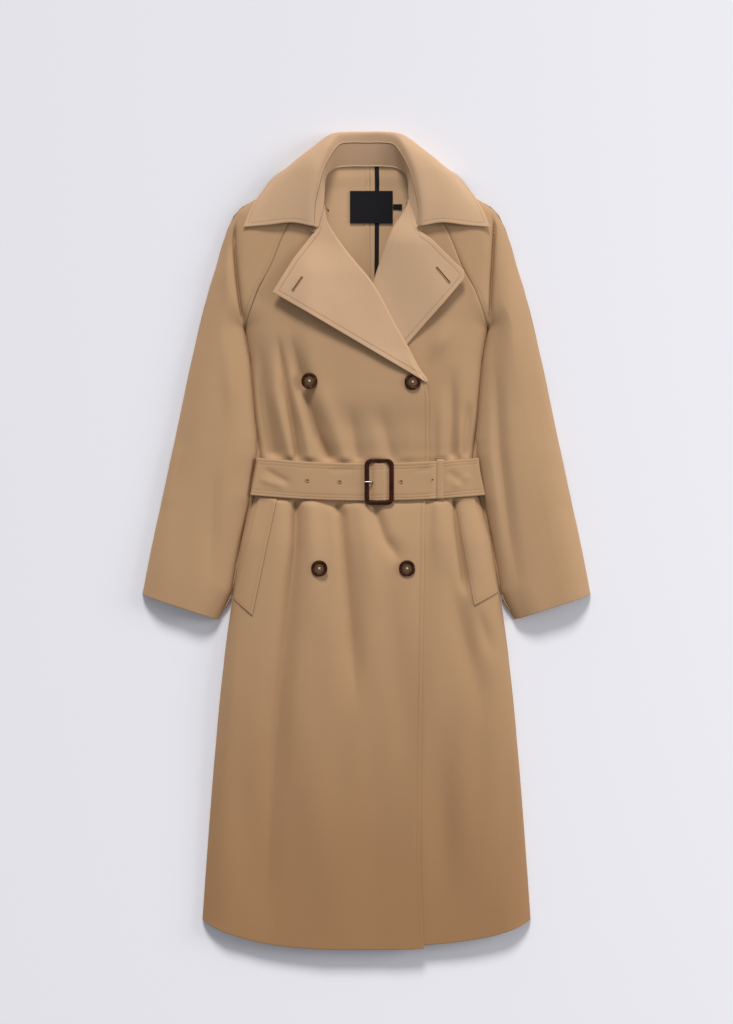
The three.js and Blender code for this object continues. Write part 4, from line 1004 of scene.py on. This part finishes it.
def make_front_sewing(thread):
    """The stitches along the right front's edge, both raglan seams and three sides of each welt."""
    y = np.linspace(-606, 226, 420)
    edge = over(np.stack([outer_edge_x(y) - EDGE_STITCH, y], -1), outer_front_top, -0.15)
    stitches([edge], "front_edge_stitches", thread)
    y = np.linspace(330, 512, 90)
    raglan = []
    for side, sleeve in ((-1, "right_sleeve"), (1, "left_sleeve")):
        line = np.stack([side * (raglan_x(y) + RAGLAN_STITCH), y], -1)
        raglan.append(over(line, lambda x, y, sleeve=sleeve: sleeve_top(x, y, sleeve), -0.1))
    stitches(raglan, "raglan_stitches", thread)
    welts = []
    for word, side, top in (("right", -1, outer_front_top), ("left", 1, inner_front_top)):
        (foot_out, foot_in), (head_out, head_in) = WELTS[word]
        corners = [(side * x, y) for x, y in (foot_out, foot_in, head_in, head_out)]
        welts.append(over(inset(corners, -WELT_STITCH * side), top, WELT_LIFT - 0.1))
    stitches(welts, "welt_stitches", thread)


def make_lapel_sewing(thread):
    """The stitches along the free edge of both lapels, below the collar."""
    rows = []
    for edge, top, side in (
        (RIGHT_LAPEL[1:-3, 1:], right_lapel_top, 1),
        (LEFT_LAPEL[:-4, 1:], left_lapel_top, -1),
    ):
        rows.append(over(inset(edge, -LAPEL_STITCH * side), top, -0.1))
    stitches(rows, "lapel_stitches", thread)


def make_seam_sewing(thread):
    """The centre back seam and the edge of its allowance, down the inside of the back."""
    y = np.linspace(-560, 556, 500)
    rows = []
    for x in (0.4, 6.0):
        line = np.stack([np.full(len(y), x), y], -1)
        rows.append(over(line, lambda x, y: CLOTH + back_rise(x, y), 0.15))
    stitches(rows, "back_seam_stitches", thread)


def make_belt_sewing(thread):
    """Two rows of stitches along each edge of the belt."""
    x = np.linspace(-166, 166, 300)
    rows = []
    outer, inner = (BELT_HALF - row for row in BELT_STITCHES)
    for offset in (-outer, -inner, inner, outer):
        y = belt_centre(x) + offset
        rows.append(xyz(x, y, belt_face(x, y) - 0.15))
    stitches(rows, "belt_stitches", thread)


# Small solid things
def hoop_faces(rings, sides):
    """The faces of a tube whose last ring is joined to its first."""
    last, first = (rings - 1) * sides + np.arange(sides), np.arange(sides)
    bridge = np.stack([last, np.roll(last, -1), np.roll(first, -1), first], -1)
    return np.concatenate([grid_faces(rings, sides, closed=True), bridge])


def sweep(path, section_radius, sides=12, closed=False):
    """A round rod along a path, with one radius or one for each point. An open one tapers at its ends."""
    path = np.asarray(path, float)
    radius = np.broadcast_to(np.asarray(section_radius, float), (len(path),)).copy()
    if closed:
        way = unit(np.roll(path, -1, axis=0) - np.roll(path, 1, axis=0))
    else:
        way = unit(np.gradient(path, axis=0))
        radius[[0, -1]] *= 0.3
    guide = np.where(np.abs(way[:, 2:]) > 0.95, [[0.0, 1.0, 0.0]], [UP])
    side = unit(np.cross(way, guide))
    up = np.cross(side, way)
    angle = round_angles(sides)
    grid = path[:, None] + radius[:, None, None] * (
        np.cos(angle)[None, :, None] * side[:, None] + np.sin(angle)[None, :, None] * up[:, None])
    faces = hoop_faces(len(path), sides) if closed else grid_faces(len(path), sides, closed=True)
    return grid.reshape(-1, 3), faces


def gather(parts):
    """Several vertex and face sets as one."""
    starts = np.cumsum([0] + [len(points) for points, _ in parts])
    faces = [polygons + start for (_, polygons), start in zip(parts, starts)]
    return np.concatenate([points for points, _ in parts]), np.concatenate(faces)


def lathe(profile, centre, sides=64):
    """A profile of (radius, height) points turned about an upright axis."""
    profile = np.asarray(profile, float)
    angle = round_angles(sides)
    x = centre[0] + profile[:, :1] * np.cos(angle)
    y = centre[1] + profile[:, :1] * np.sin(angle)
    return xyz(x, y, centre[2] + profile[:, 1:]).reshape(-1, 3), grid_faces(len(profile), sides, closed=True)


def highest_under(top, x, y, radius):
    """The highest point of a surface at the middle and on the edge of a disc over it."""
    angle = round_angles(12)
    ring = top(x + radius * np.cos(angle), y + radius * np.sin(angle))
    return float(max(ring.max(), height_at(top, x, y)))


BUTTONS = (
    ("button_upper_right", -85.4, 238, 0.3), ("button_upper_left", 69, 236.5, 1.1),
    ("button_lower_right", -70.5, -42.3, 0.9), ("button_lower_left", 60.6, -42.3, 0.1))
BUTTON_RADIUS = 12.2
BUTTON_HOLE_OUT = 2.4


def button_height(r):
    """A button's upper face at each radius: a dish in the middle, a round rim, and a quarter ellipse."""
    rim = 3.1 - 0.55 * (np.abs(r - 9.9) / 1.9) ** 2
    edge = 1.3 + 1.8 * np.sqrt(np.clip(1 - ((r - 10.2) / 2.0) ** 2, 0, 1))
    dish = 1.75 + 0.25 * (r / 7.5) ** 2
    height = np.where(r > 10.2, edge, np.where(r > 8.0, np.maximum(rim, dish), dish))
    return np.where((r > 7.2) & (r <= 8.0), mix(dish, 2.45, ease(7.2, 8.0, r)), height)


def make_buttons(horn, thread):
    """Four-hole buttons: a rounded rim round a dished face, with a cross of thread in the holes."""
    sides, rings = 96, 60
    angle = round_angles(sides)
    r = BUTTON_RADIUS * np.sin(np.linspace(0, 1, rings) * math.pi / 2)[:, None]
    px, py = r * np.cos(angle), r * np.sin(angle)
    for name, x, y, turn in BUTTONS:
        bottom = highest_under(outer_front_top, x, y, BUTTON_RADIUS) + 0.3
        pz = button_height(r)
        cross = []
        for k in range(4):
            way_x, way_y = math.cos(turn + k * math.pi / 2), math.sin(turn + k * math.pi / 2)
            off = np.hypot(px - BUTTON_HOLE_OUT * way_x, py - BUTTON_HOLE_OUT * way_y)
            pz = pz - 1.5 * ease(1.15, 0.75, off)
            for shift in (-0.45, 0, 0.45) if k < 2 else ():
                t = np.linspace(-1, 1, 15)
                path = xyz(
                    x + BUTTON_HOLE_OUT * t * way_x - shift * way_y,
                    y + BUTTON_HOLE_OUT * t * way_y + shift * way_x,
                    bottom + 1.2 + 1.25 * (1 - np.abs(t) ** 5) + 0.2 * k)
                cross.append(sweep(path, 0.3, 8))
        top = xyz(x + px, y + py, bottom + pz).reshape(-1, 3)
        under = lathe([(BUTTON_RADIUS, 1.3), (11.6, 0.5), (10, 0.1), (0.1, 0)], (x, y, bottom), sides)
        vertices, faces = gather([(top, grid_faces(rings, sides, closed=True)), under])
        out = np.hypot(vertices[:, 0] - x, vertices[:, 1] - y) / BUTTON_RADIUS
        hand_over(name, vertices, faces, horn, [name], "button", uv=np.stack([out, 0 * out], -1))
        hand_over(name + "_thread", *gather(cross), thread)


def rounded_rectangle(width, height, corner, steps=16):
    """Points round a rectangle with round corners, the same number for any size."""
    arcs = []
    for k, (sx, sy) in enumerate(((1, 1), (-1, 1), (-1, -1), (1, -1))):
        angle = (k + np.linspace(0, 1, steps)) * math.pi / 2
        cx, cy = sx * (width / 2 - corner), sy * (height / 2 - corner)
        arcs.append(np.stack([cx + corner * np.cos(angle), cy + corner * np.sin(angle)], -1))
    filled = []
    for arc, following in zip(arcs, arcs[1:] + arcs[:1]):
        filled += [arc, mix(arc[-1], following[0], np.linspace(0, 1, 14)[1:-1, None])]
    return np.concatenate(filled)


BUCKLE = {"width": 44, "height": 69, "side": 7, "end": 5.9, "thick": 4, "corner": 10}


def make_buckle(glaze, steel):
    """A covered frame of soft rounded section, its hidden bar, and the prong that lies across its rail.

    The section is a superellipse with the power 0.72, and a fine seam runs round its inner side.
    """
    width, height, side, end, thick, corner = BUCKLE.values()
    x, y = BUCKLE_X, float(belt_centre(BUCKLE_X))
    bar_bottom = height_at(body_top, x, y) + OVERLAP + BELT_GAP + SEAM
    rail = bar_bottom + BELT_THICK + thick / 2
    outer = rounded_rectangle(width, height, corner)
    inner = rounded_rectangle(width - 2 * side, height - 2 * end, corner - side + 1.4)
    middle, half = (outer + inner) / 2, (outer - inner) / 2
    sides = 28
    angle = round_angles(sides)
    across, up = (np.sign(v) * np.abs(v) ** 0.72 for v in (np.cos(angle), np.sin(angle)))
    kept = 1 - 0.25 * dip(angle - 2.45, 0.09)
    flat = middle[:, None] + half[:, None] * (across * kept)[None, :, None]
    frame_ring = xyz(x + flat[..., 0], y + flat[..., 1], rail + thick / 2 * (up * kept))
    far = height / 2 - end / 2
    near = BELT_HALF + 1.6
    low = bar_bottom + 1.1
    half_bar = ((far, rail), (near + 0.6, rail - 1), (near, low + 0.6), (near - 1, low))
    path = [(x, y - off, z) for off, z in half_bar] + [(x, y + off, z) for off, z in half_bar[::-1]]
    shape = gather([(frame_ring.reshape(-1, 3), hoop_faces(len(outer), sides)), sweep(path, 1.1, 10)])
    solid("buckle_cover", shape, glaze, ["buckle_frame"], "buckle")
    route = np.array([(-2.4, 0.95), (-6.2, 0.6), (-9.6, 1.7), (-10.7, 4.4), (-12.2, 7.2), (-14.8, 8.2),
                      (-18, 8.1), (-22.2, 7.7)])
    t = np.linspace(0, 1, 60)
    along, lift = (smooth_curve(np.linspace(0, 1, len(route)), route[:, k])(t) for k in (0, 1))
    path = xyz(x + along, y, bar_bottom + lift)
    solid("prong", sweep(path, 1.15 - 0.25 * ease(0.75, 1, t), 16), steel, ["buckle_prong"], "steel")


def make_eyelets(thread):
    """Sewn eyelets: a ring of close stitches round each hole of the belt."""
    angle = round_angles(176)
    for n in range(len(BELT_HOLES)):
        x, y = hole_at(n)
        px, py = x + EYELET_RADIUS * np.cos(angle), y + EYELET_RADIUS * np.sin(angle)
        path = xyz(px, py, belt_face(px, py) + 0.3)
        shape = sweep(path, 0.8 * (1 + 0.16 * np.cos(22 * angle)), 10, closed=True)
        node = [f"belt_eyelet_{n + 1}"] if n != PRONG_HOLE else []
        solid(f"eyelet_ring_{n + 1}", shape, thread, node, "thread")


def make_belt_loop(cloth, thread):
    """A narrow strip over the belt, down to the front on both sides, with a bar of thread at each end."""
    x, half, thick = 111, 5.2, 1.1
    centre = float(belt_centre(x))
    crest = float(belt_face(float(x), centre)) + 2 * SEAM + thick
    foot_span = np.linspace(26, 32.4, 14)
    y = centre + np.concatenate([-foot_span[::-1], np.linspace(-24, 24, 18), foot_span])
    foot = inner_front_top(np.full(len(y), float(x)), y) + 2 * SEAM + thick
    z = mix(crest, foot, ease(27.6, 31.6, np.abs(y - centre)))
    u = half * np.sin(np.linspace(-1, 1, 25) * math.pi / 2)
    grid = xyz(x + u, y[:, None], z[:, None])
    edge = np.broadcast_to(half - np.abs(u), grid.shape[:2])
    grid[..., 2] += 0.3 * (1 - (u / half) ** 2) - 0.22 * dip(edge - 1.9, 0.5)
    piece = solid("carrier", cloth_wall(grid, thick=thick, fold=edge), cloth, ["belt_loop"], "cloth")
    tacks = []
    for end in (-31.6, 31.6):
        base = height_at(inner_front_top, x, centre + end) + 2 * SEAM + thick
        t = np.linspace(-4, 4, 60)
        path = xyz(x + t, centre + end, base + 0.35)
        tacks.append(sweep(path, 0.5 * (1 + 0.2 * np.cos(t * 9)), 8))
    hand_over("carrier_tacks", *gather(tacks), thread)


def make_buttonholes(thread, dark):
    """A keyhole buttonhole in each lapel: close stitches round a slit with a round end, and a dark sheet
    along the slit as painted shade.
    """
    for name, (ax, ay), (bx, by), top in (
        ("right", (-110.5, 371.5), (-95.5, 393), right_lapel_top),
        ("left", (124.5, 384), (104.5, 407.5), left_lapel_top),
    ):
        length = math.hypot(bx - ax, by - ay)
        ux, uy = (bx - ax) / length, (by - ay) / length
        eye = np.radians(np.linspace(30, 330, 30))
        leg = np.linspace(5, length, 40)
        s = np.concatenate([2.1 - 2.1 * np.cos(eye - math.pi), leg, leg[::-1]])
        w = np.concatenate([1.9 * np.sin(eye), np.full(40, -1.3), np.full(40, 1.3)])
        px, py = ax + s * ux - w * uy, ay + s * uy + w * ux
        path = xyz(px, py, top(px, py) + 0.25)
        path = resample(np.concatenate([path, path[:1]]), 0.22)
        ridges = 1 + 0.18 * np.cos(np.arange(len(path)) * 2 * math.pi / 4)
        solid(f"buttonhole_{name}", sweep(path, 0.62 * ridges, 8, closed=True), thread)
        # A dark sheet along the slit: painted shade where the cut opens
        t = np.linspace(1.2, length - 0.6, 24)[:, None]
        v = np.array([[-0.75, 0.75]])
        sx, sy = ax + t * ux - v * uy, ay + t * uy + v * ux
        grid = xyz(sx, sy, top(sx, sy) + 0.3)
        solid(f"buttonhole_painted_shade_{name}", wall(grid, grid - [0, 0, 0.3]), dark)


def flat_patch(centre, size, u, v):
    """A grid over a rectangle from its shares -1 to 1 both ways, and each point's distance to its edge."""
    (cx, cy), (w, h) = centre, size
    x, y = np.meshgrid(cx + u * w / 2, cy + v * h / 2)
    return x, y, np.minimum(w / 2 - np.abs(x - cx), h / 2 - np.abs(y - cy))


def make_labels(satin):
    """A blank woven label, folded under at its ends and sewn down, and a small folded tab."""
    half = np.cos(np.linspace(math.pi / 2, 0, 14))
    u = np.concatenate([-half[:0:-1], half])
    x, y, edge = flat_patch((7.3, 501.6), (64.5, 49), u, u)
    lift = 0.8 + 0.25 * np.sin(x / 13 + y / 31) * ease(0, 9, edge) - 0.15 * dip(edge - 2.2, 0.9)
    grid = xyz(x, y, CLOTH + 0.9 + 3 * SEAM + lift)
    piece = solid("neck_label_blank", cloth_wall(grid, thick=0.8, fold=edge), satin, ["neck_label"], "label")
    x, y, edge = flat_patch((46.8, 502), (13.6, 8.4), np.linspace(-1, 1, 15), np.linspace(-1, 1, 12))
    grid = xyz(x, y, CLOTH + SEAM + 1.4 + 0.4 * np.sin((x - 46.8) / 4.5))
    solid("size_tab_blank", cloth_wall(grid, thick=1.4, fold=edge), satin, ["size_tab"], "label")


def make_hook_and_eye(brass):
    """Bent wire at each end of the stand: a hook on the wearer's right, an eye on the left."""
    angle = round_angles(40)
    t = np.linspace(0, math.pi, 30)
    for name, side, top, reach, node in (
        ("throat_hook", -1, right_lapel_top, 4.2, "collar_hook"),
        ("throat_eye", 1, left_lapel_top, 3.4, "collar_eye"),
    ):
        x, y = side * 79.5, 465.5
        z = height_at(top, side * 76.0, 462.0) + 0.9
        rings = []
        for dx in (-2.1, 2.1):
            ring = xyz(x + dx + 1.6 * np.cos(angle), y + 1.6 + 1.6 * np.sin(angle), z)
            rings.append(sweep(ring, 0.45, 8, closed=True))
        bow = xyz(x + 2.0 * np.cos(t), y - reach * np.sin(t), z + 0.5 * np.sin(t))
        rings.append(sweep(bow, 0.5, 8))
        if side < 0:
            turned = xyz(x + 0.9 * np.cos(t), y - 3.9 + 2.8 * np.sin(t), z + 1.0 * np.sin(t))
            rings.append(sweep(turned, 0.45, 8))
        hand_over(name, *gather(rings), brass, [node], "steel")


# Materials
# The wave texture's scale for one rib a millimetre
WAVES_PER_MM = 314.16


def add_node(tree, kind, inputs, **settings):
    """A shader node with its settings, and for each input a value or the output that feeds it."""
    node = tree.nodes.new("ShaderNode" + kind)
    for name, value in settings.items():
        setattr(node, name, value)
    for name, value in inputs.items():
        if isinstance(value, bpy.types.NodeSocket):
            tree.links.new(value, node.inputs[name])
        else:
            node.inputs[name].default_value = value
    return node


def combined(tree, operation, *values):
    """The output of a sum or product of outputs and numbers."""
    return add_node(tree, "Math", dict(enumerate(values)), operation=operation).outputs[0]


def blended(tree, share, a, b):
    """The output of a mix of two colours, a at share 0 and b at share 1."""
    return add_node(tree, "Mix", {"Factor": share, "A": a, "B": b}, data_type="RGBA").outputs["Result"]


def spread(tree, source, **ends):
    """The output of a value moved from one range to another."""
    inputs = {name.replace("_", " ").title(): value for name, value in ends.items()}
    return add_node(tree, "MapRange", {"Value": source, **inputs}).outputs["Result"]


def colour_ramp(tree, source, first, last, *between):
    """The output of a colour ramp, from its stops: each is a position and a colour."""
    ramp = add_node(tree, "ValToRGB", {"Fac": source})
    stops = ramp.color_ramp.elements
    for stop, (position, colour) in zip(stops, (first, last)):
        stop.position, stop.color = position, (*colour, 1)
    for position, colour in between:
        stops.new(position).color = (*colour, 1)
    return ramp.outputs["Color"]


def own_place(tree):
    """The output of the object's own coordinates."""
    return add_node(tree, "TexCoord", {}).outputs["Object"]


def new_material(name, roughness=0.8, specular=0.5):
    """A material, its node tree and its shader."""
    material = bpy.data.materials.new(name)
    material.use_nodes = True
    tree = material.node_tree
    shader = tree.nodes["Principled BSDF"]
    shader.inputs["Roughness"].default_value = roughness
    shader.inputs["Specular IOR Level"].default_value = specular
    return material, tree, shader


def make_weave_group():
    """Woven cloth: mottled colour, painted shade that deepens towards the hem, and the twill's threads as a
    height.
    """
    group = bpy.data.node_groups.new("woven twill", "ShaderNodeTree")
    for name, value in (
        ("Colour", (0.5, 0.4, 0.3, 1)), ("Deep colour", (0.4, 0.3, 0.2, 1)),
        ("Hem shade colour", (0.3, 0.2, 0.1, 1)), ("Hem painted shade", 0.0), ("Ribs per mm", 1.1), ("Mottle", 0.5),
    ):
        kind = "NodeSocketFloat" if isinstance(value, float) else "NodeSocketColor"
        group.interface.new_socket(name, in_out="INPUT", socket_type=kind).default_value = value
    for name, kind in (("Colour", "Color"), ("Roughness", "Float"), ("Height", "Float")):
        group.interface.new_socket(name, in_out="OUTPUT", socket_type="NodeSocket" + kind)
    given, out = group.nodes.new("NodeGroupInput").outputs, group.nodes.new("NodeGroupOutput").inputs
    place = own_place(group)
    turned = add_node(group, "Mapping", {"Vector": place, "Rotation": (0, 0, math.radians(28))})
    rib = add_node(
        group, "TexWave",
        {"Vector": turned.outputs["Vector"],
         "Scale": combined(group, "MULTIPLY", given["Ribs per mm"], WAVES_PER_MM),
         "Distortion": 0.6, "Detail": 1.5, "Detail Scale": 2.0},
        wave_type="BANDS", bands_direction="X", wave_profile="SIN")
    slub, cloud = (
        add_node(group, "TexNoise", {"Vector": place, "Scale": scale, "Detail": detail, "Roughness": 0.55})
        .outputs["Fac"] for scale, detail in ((900, 3), (14, 4)))
    patches = combined(group, "ADD", spread(group, cloud, from_min=0.35, from_max=0.7, to_max=0.45),
                       spread(group, slub, from_min=0.3, from_max=0.75, to_max=0.55))
    mottled = blended(group, combined(group, "MULTIPLY", patches, given["Mottle"]), given["Colour"],
                      given["Deep colour"])
    # Painted shade: below y = 0.05 m the colour is mixed towards a darker, redder one, most at y = -0.62 m
    # by the hem
    height = add_node(group, "SeparateXYZ", {"Vector": place}).outputs["Y"]
    down = add_node(group, "MapRange", {"Value": height, "From Min": 0.05, "From Max": -0.62},
                    interpolation_type="SMOOTHSTEP").outputs["Result"]
    hem = blended(group, combined(group, "MULTIPLY", down, given["Hem painted shade"]), mottled, given["Hem shade colour"])
    group.links.new(hem, out["Colour"])
    group.links.new(spread(group, slub, to_min=0.72, to_max=0.9), out["Roughness"])
    group.links.new(combined(group, "MULTIPLY_ADD", slub, 0.6, rib.outputs["Fac"]), out["Height"])
    return group


def woven(group, name, colour, deep, mottle=0.5, bump=0.12, sheen=0.1, hem_painted_shade=0.0):
    """Cloth of two mottled colours, with a soft sheen; towards its hem it can take painted shade, deeper and
    redder.
    """
    material, tree, shader = new_material(name, specular=0.25)
    weave = add_node(tree, "Group", {}, node_tree=group)
    # The painted shade's colour at the hem: the cloth's colour darkened and reddened
    hem = (colour[0] * 0.70, colour[1] * 0.60, colour[2] * 0.50)
    for key, value in (
        ("Colour", (*colour, 1)), ("Deep colour", (*deep, 1)), ("Mottle", mottle), ("Hem shade colour", (*hem, 1)),
        ("Hem painted shade", hem_painted_shade),
    ):
        weave.inputs[key].default_value = value
    height = weave.outputs["Height"]
    threads = add_node(tree, "Bump", {"Height": height, "Strength": bump, "Distance": 0.0003})
    tree.links.new(weave.outputs["Colour"], shader.inputs["Base Color"])
    tree.links.new(weave.outputs["Roughness"], shader.inputs["Roughness"])
    tree.links.new(threads.outputs["Normal"], shader.inputs["Normal"])
    shader.inputs["Sheen Weight"].default_value = sheen
    shader.inputs["Sheen Roughness"].default_value = 0.45
    shader.inputs["Sheen Tint"].default_value = (1.0, 0.86, 0.7, 1)
    return material


def make_horn():
    """Horn: bands of dark and pale brown that drift through the button, and a paler dish."""
    material, tree, shader = new_material("horn", 0.5, 0.13)
    noise = add_node(
        tree, "TexNoise", {"Vector": own_place(tree), "Scale": 95, "Detail": 3, "Distortion": 1.4})
    bands = colour_ramp(
        tree, noise.outputs["Fac"], (0.40, (0.022, 0.006, 0.0012)), (0.78, (0.20, 0.095, 0.035)),
        (0.58, (0.055, 0.018, 0.005)))
    spot = add_node(tree, "UVMap", {}, uv_map="sewing")
    out = add_node(tree, "SeparateXYZ", {"Vector": spot.outputs["UV"]}).outputs["X"]
    pale = spread(tree, out, from_min=0.66, from_max=0.4, to_max=0.55)
    tree.links.new(blended(tree, pale, bands, (0.20, 0.11, 0.055, 1)), shader.inputs["Base Color"])
    return material


def make_glaze():
    """Glazed oxblood leather over the buckle: fine pores, a soft gloss."""
    material, tree, shader = new_material("glazed leather", 0.55, 0.13)
    place = own_place(tree)
    pores = add_node(tree, "TexVoronoi", {"Vector": place, "Scale": 1300}).outputs["Distance"]
    cloud = add_node(tree, "TexNoise", {"Vector": place, "Scale": 160}).outputs["Fac"]
    tone = colour_ramp(tree, cloud, (0.3, (0.022, 0.0035, 0.0018)), (0.75, (0.055, 0.011, 0.0045)))
    bump = add_node(tree, "Bump", {"Height": pores, "Strength": 0.15, "Distance": 0.0002})
    tree.links.new(tone, shader.inputs["Base Color"])
    tree.links.new(bump.outputs["Normal"], shader.inputs["Normal"])
    return material


def make_metal(name, colour, roughness):
    """Bare metal whose roughness wanders a little."""
    material, tree, shader = new_material(name, roughness)
    noise = add_node(tree, "TexNoise", {"Vector": own_place(tree), "Scale": 700}).outputs["Fac"]
    worn = spread(tree, noise, to_min=roughness - 0.06, to_max=roughness + 0.1)
    tree.links.new(worn, shader.inputs["Roughness"])
    shader.inputs["Base Color"].default_value = (*colour, 1)
    shader.inputs["Metallic"].default_value = 1
    return material


# Half of the floor's side in metres; the photo's scale, its height and the row of y = 0, in pixels
FLOOR = 6.0
PIXEL = 1.5 * MM
IMAGE_HEIGHT = 1024
ORIGIN_ROW = 540
SENSOR = 36
CAMERA_HEIGHT = 3.2
CAMERA_RAISED = 0.02


def make_stage():
    """A plain pale floor, a hair below the cloth."""
    mesh = bpy.data.meshes.new("surface")
    corners = [(x * FLOOR, y * FLOOR, -0.0003) for x, y in ((-1, -1), (1, -1), (1, 1), (-1, 1))]
    mesh.from_pydata(corners, [], [(0, 1, 2, 3)])
    floor = bpy.data.objects.new("surface", mesh)
    bpy.context.scene.collection.objects.link(floor)
    material, _, shader = new_material("pale surface", 0.9, 0.1)
    shader.inputs["Base Color"].default_value = (0.88, 0.88, 0.93, 1)
    mesh.materials.append(material)


def make_camera_and_lights():
    """A camera straight above whose picture is the photo's size, a soft sun from the collar's side, a
    side lamp and a dim room."""
    scene = bpy.context.scene
    data = bpy.data.cameras.new("above")
    data.sensor_fit, data.sensor_height, data.sensor_width = "VERTICAL", SENSOR, SENSOR
    data.lens = SENSOR * CAMERA_HEIGHT / (IMAGE_HEIGHT * PIXEL)
    camera = bpy.data.objects.new("above", data)
    camera.location = (0, (ORIGIN_ROW - IMAGE_HEIGHT / 2) * PIXEL, CAMERA_HEIGHT + CAMERA_RAISED)
    scene.collection.objects.link(camera)
    scene.camera = camera
    world = bpy.data.worlds.new("soft room")
    scene.world = world
    world.use_nodes = True
    room = world.node_tree.nodes["Background"]
    room.inputs["Color"].default_value = (0.93, 0.95, 1.0, 1)
    room.inputs["Strength"].default_value = 0.36
    for name, place, aim, kind, size, power, colour in (
        ("key", (-0.3, 6.2, 3.9), (0, 0, 0), "SUN", math.radians(15), 2.5, (1, 0.975, 0.945)),
        ("side", (4.4, 0.9, 2.1), (0, 0.1, 0), "AREA", 2.2, 90, (1, 0.98, 0.96)),
    ):
        lamp = bpy.data.lights.new(name, kind)
        lamp.energy, lamp.color = power, colour
        if kind == "SUN":
            lamp.angle = size
        else:
            lamp.size = size
        light = bpy.data.objects.new(name, lamp)
        light.location = place
        away = np.array(place) - np.array(aim)
        tilt = math.acos(away[2] / np.linalg.norm(away))
        light.rotation_euler = (tilt, 0, math.atan2(away[1], away[0]) + math.pi / 2)
        scene.collection.objects.link(light)
    scene.view_settings.view_transform = "Standard"


def main():
    """Makes the cloths and metals, then the pieces from the lowest to the highest, then the stage."""
    weave = make_weave_group()
    # The coat's cloth and its wrong side take painted shade towards the hem
    cloth = woven(weave, "gabardine", (0.485, 0.302, 0.165), (0.43, 0.26, 0.137), hem_painted_shade=0.9)
    # The facing is a paler copy of the coat's cloth: painted light on the raised lapels and collar
    facing = woven(weave, "gabardine facing", (0.59, 0.385, 0.235), (0.53, 0.34, 0.20))
    # The wrong side's colour, made lighter as painted light against the shade that falls inside the coat
    inside = woven(weave, "gabardine wrong side", (0.61, 0.395, 0.225), (0.545, 0.345, 0.192), hem_painted_shade=0.9)
    black = woven(weave, "black tape", (0.010, 0.008, 0.009), (0.006, 0.005, 0.006), sheen=0.0)
    thread = woven(weave, "thread", (0.46, 0.29, 0.165), (0.40, 0.25, 0.14))
    pale_thread = woven(weave, "button thread", (0.62, 0.50, 0.36), (0.5, 0.4, 0.28))
    # A dark cloth colour for the buttonhole slits: painted shade
    dark = woven(weave, "slit", (0.07, 0.04, 0.02), (0.05, 0.03, 0.015), sheen=0.0)
    satin = woven(weave, "black satin", (0.006, 0.005, 0.007), (0.004, 0.0035, 0.005), sheen=0.0)
    make_fronts(cloth)
    make_backs(inside)
    make_binding(black)
    make_sleeves(cloth)
    make_lapels(facing)
    make_collar(facing, thread)
    make_welts(cloth)
    make_belt(cloth)
    make_front_sewing(thread)
    make_lapel_sewing(thread)
    make_seam_sewing(thread)
    make_belt_sewing(thread)
    make_buttons(make_horn(), pale_thread)
    make_buckle(make_glaze(), make_metal("polished steel", (0.75, 0.72, 0.69), 0.2))
    make_eyelets(thread)
    make_belt_loop(cloth, thread)
    make_buttonholes(thread, dark)
    make_labels(satin)
    make_hook_and_eye(make_metal("dark brass", (0.42, 0.27, 0.14), 0.32))
    make_stage()
    make_camera_and_lights()


main()
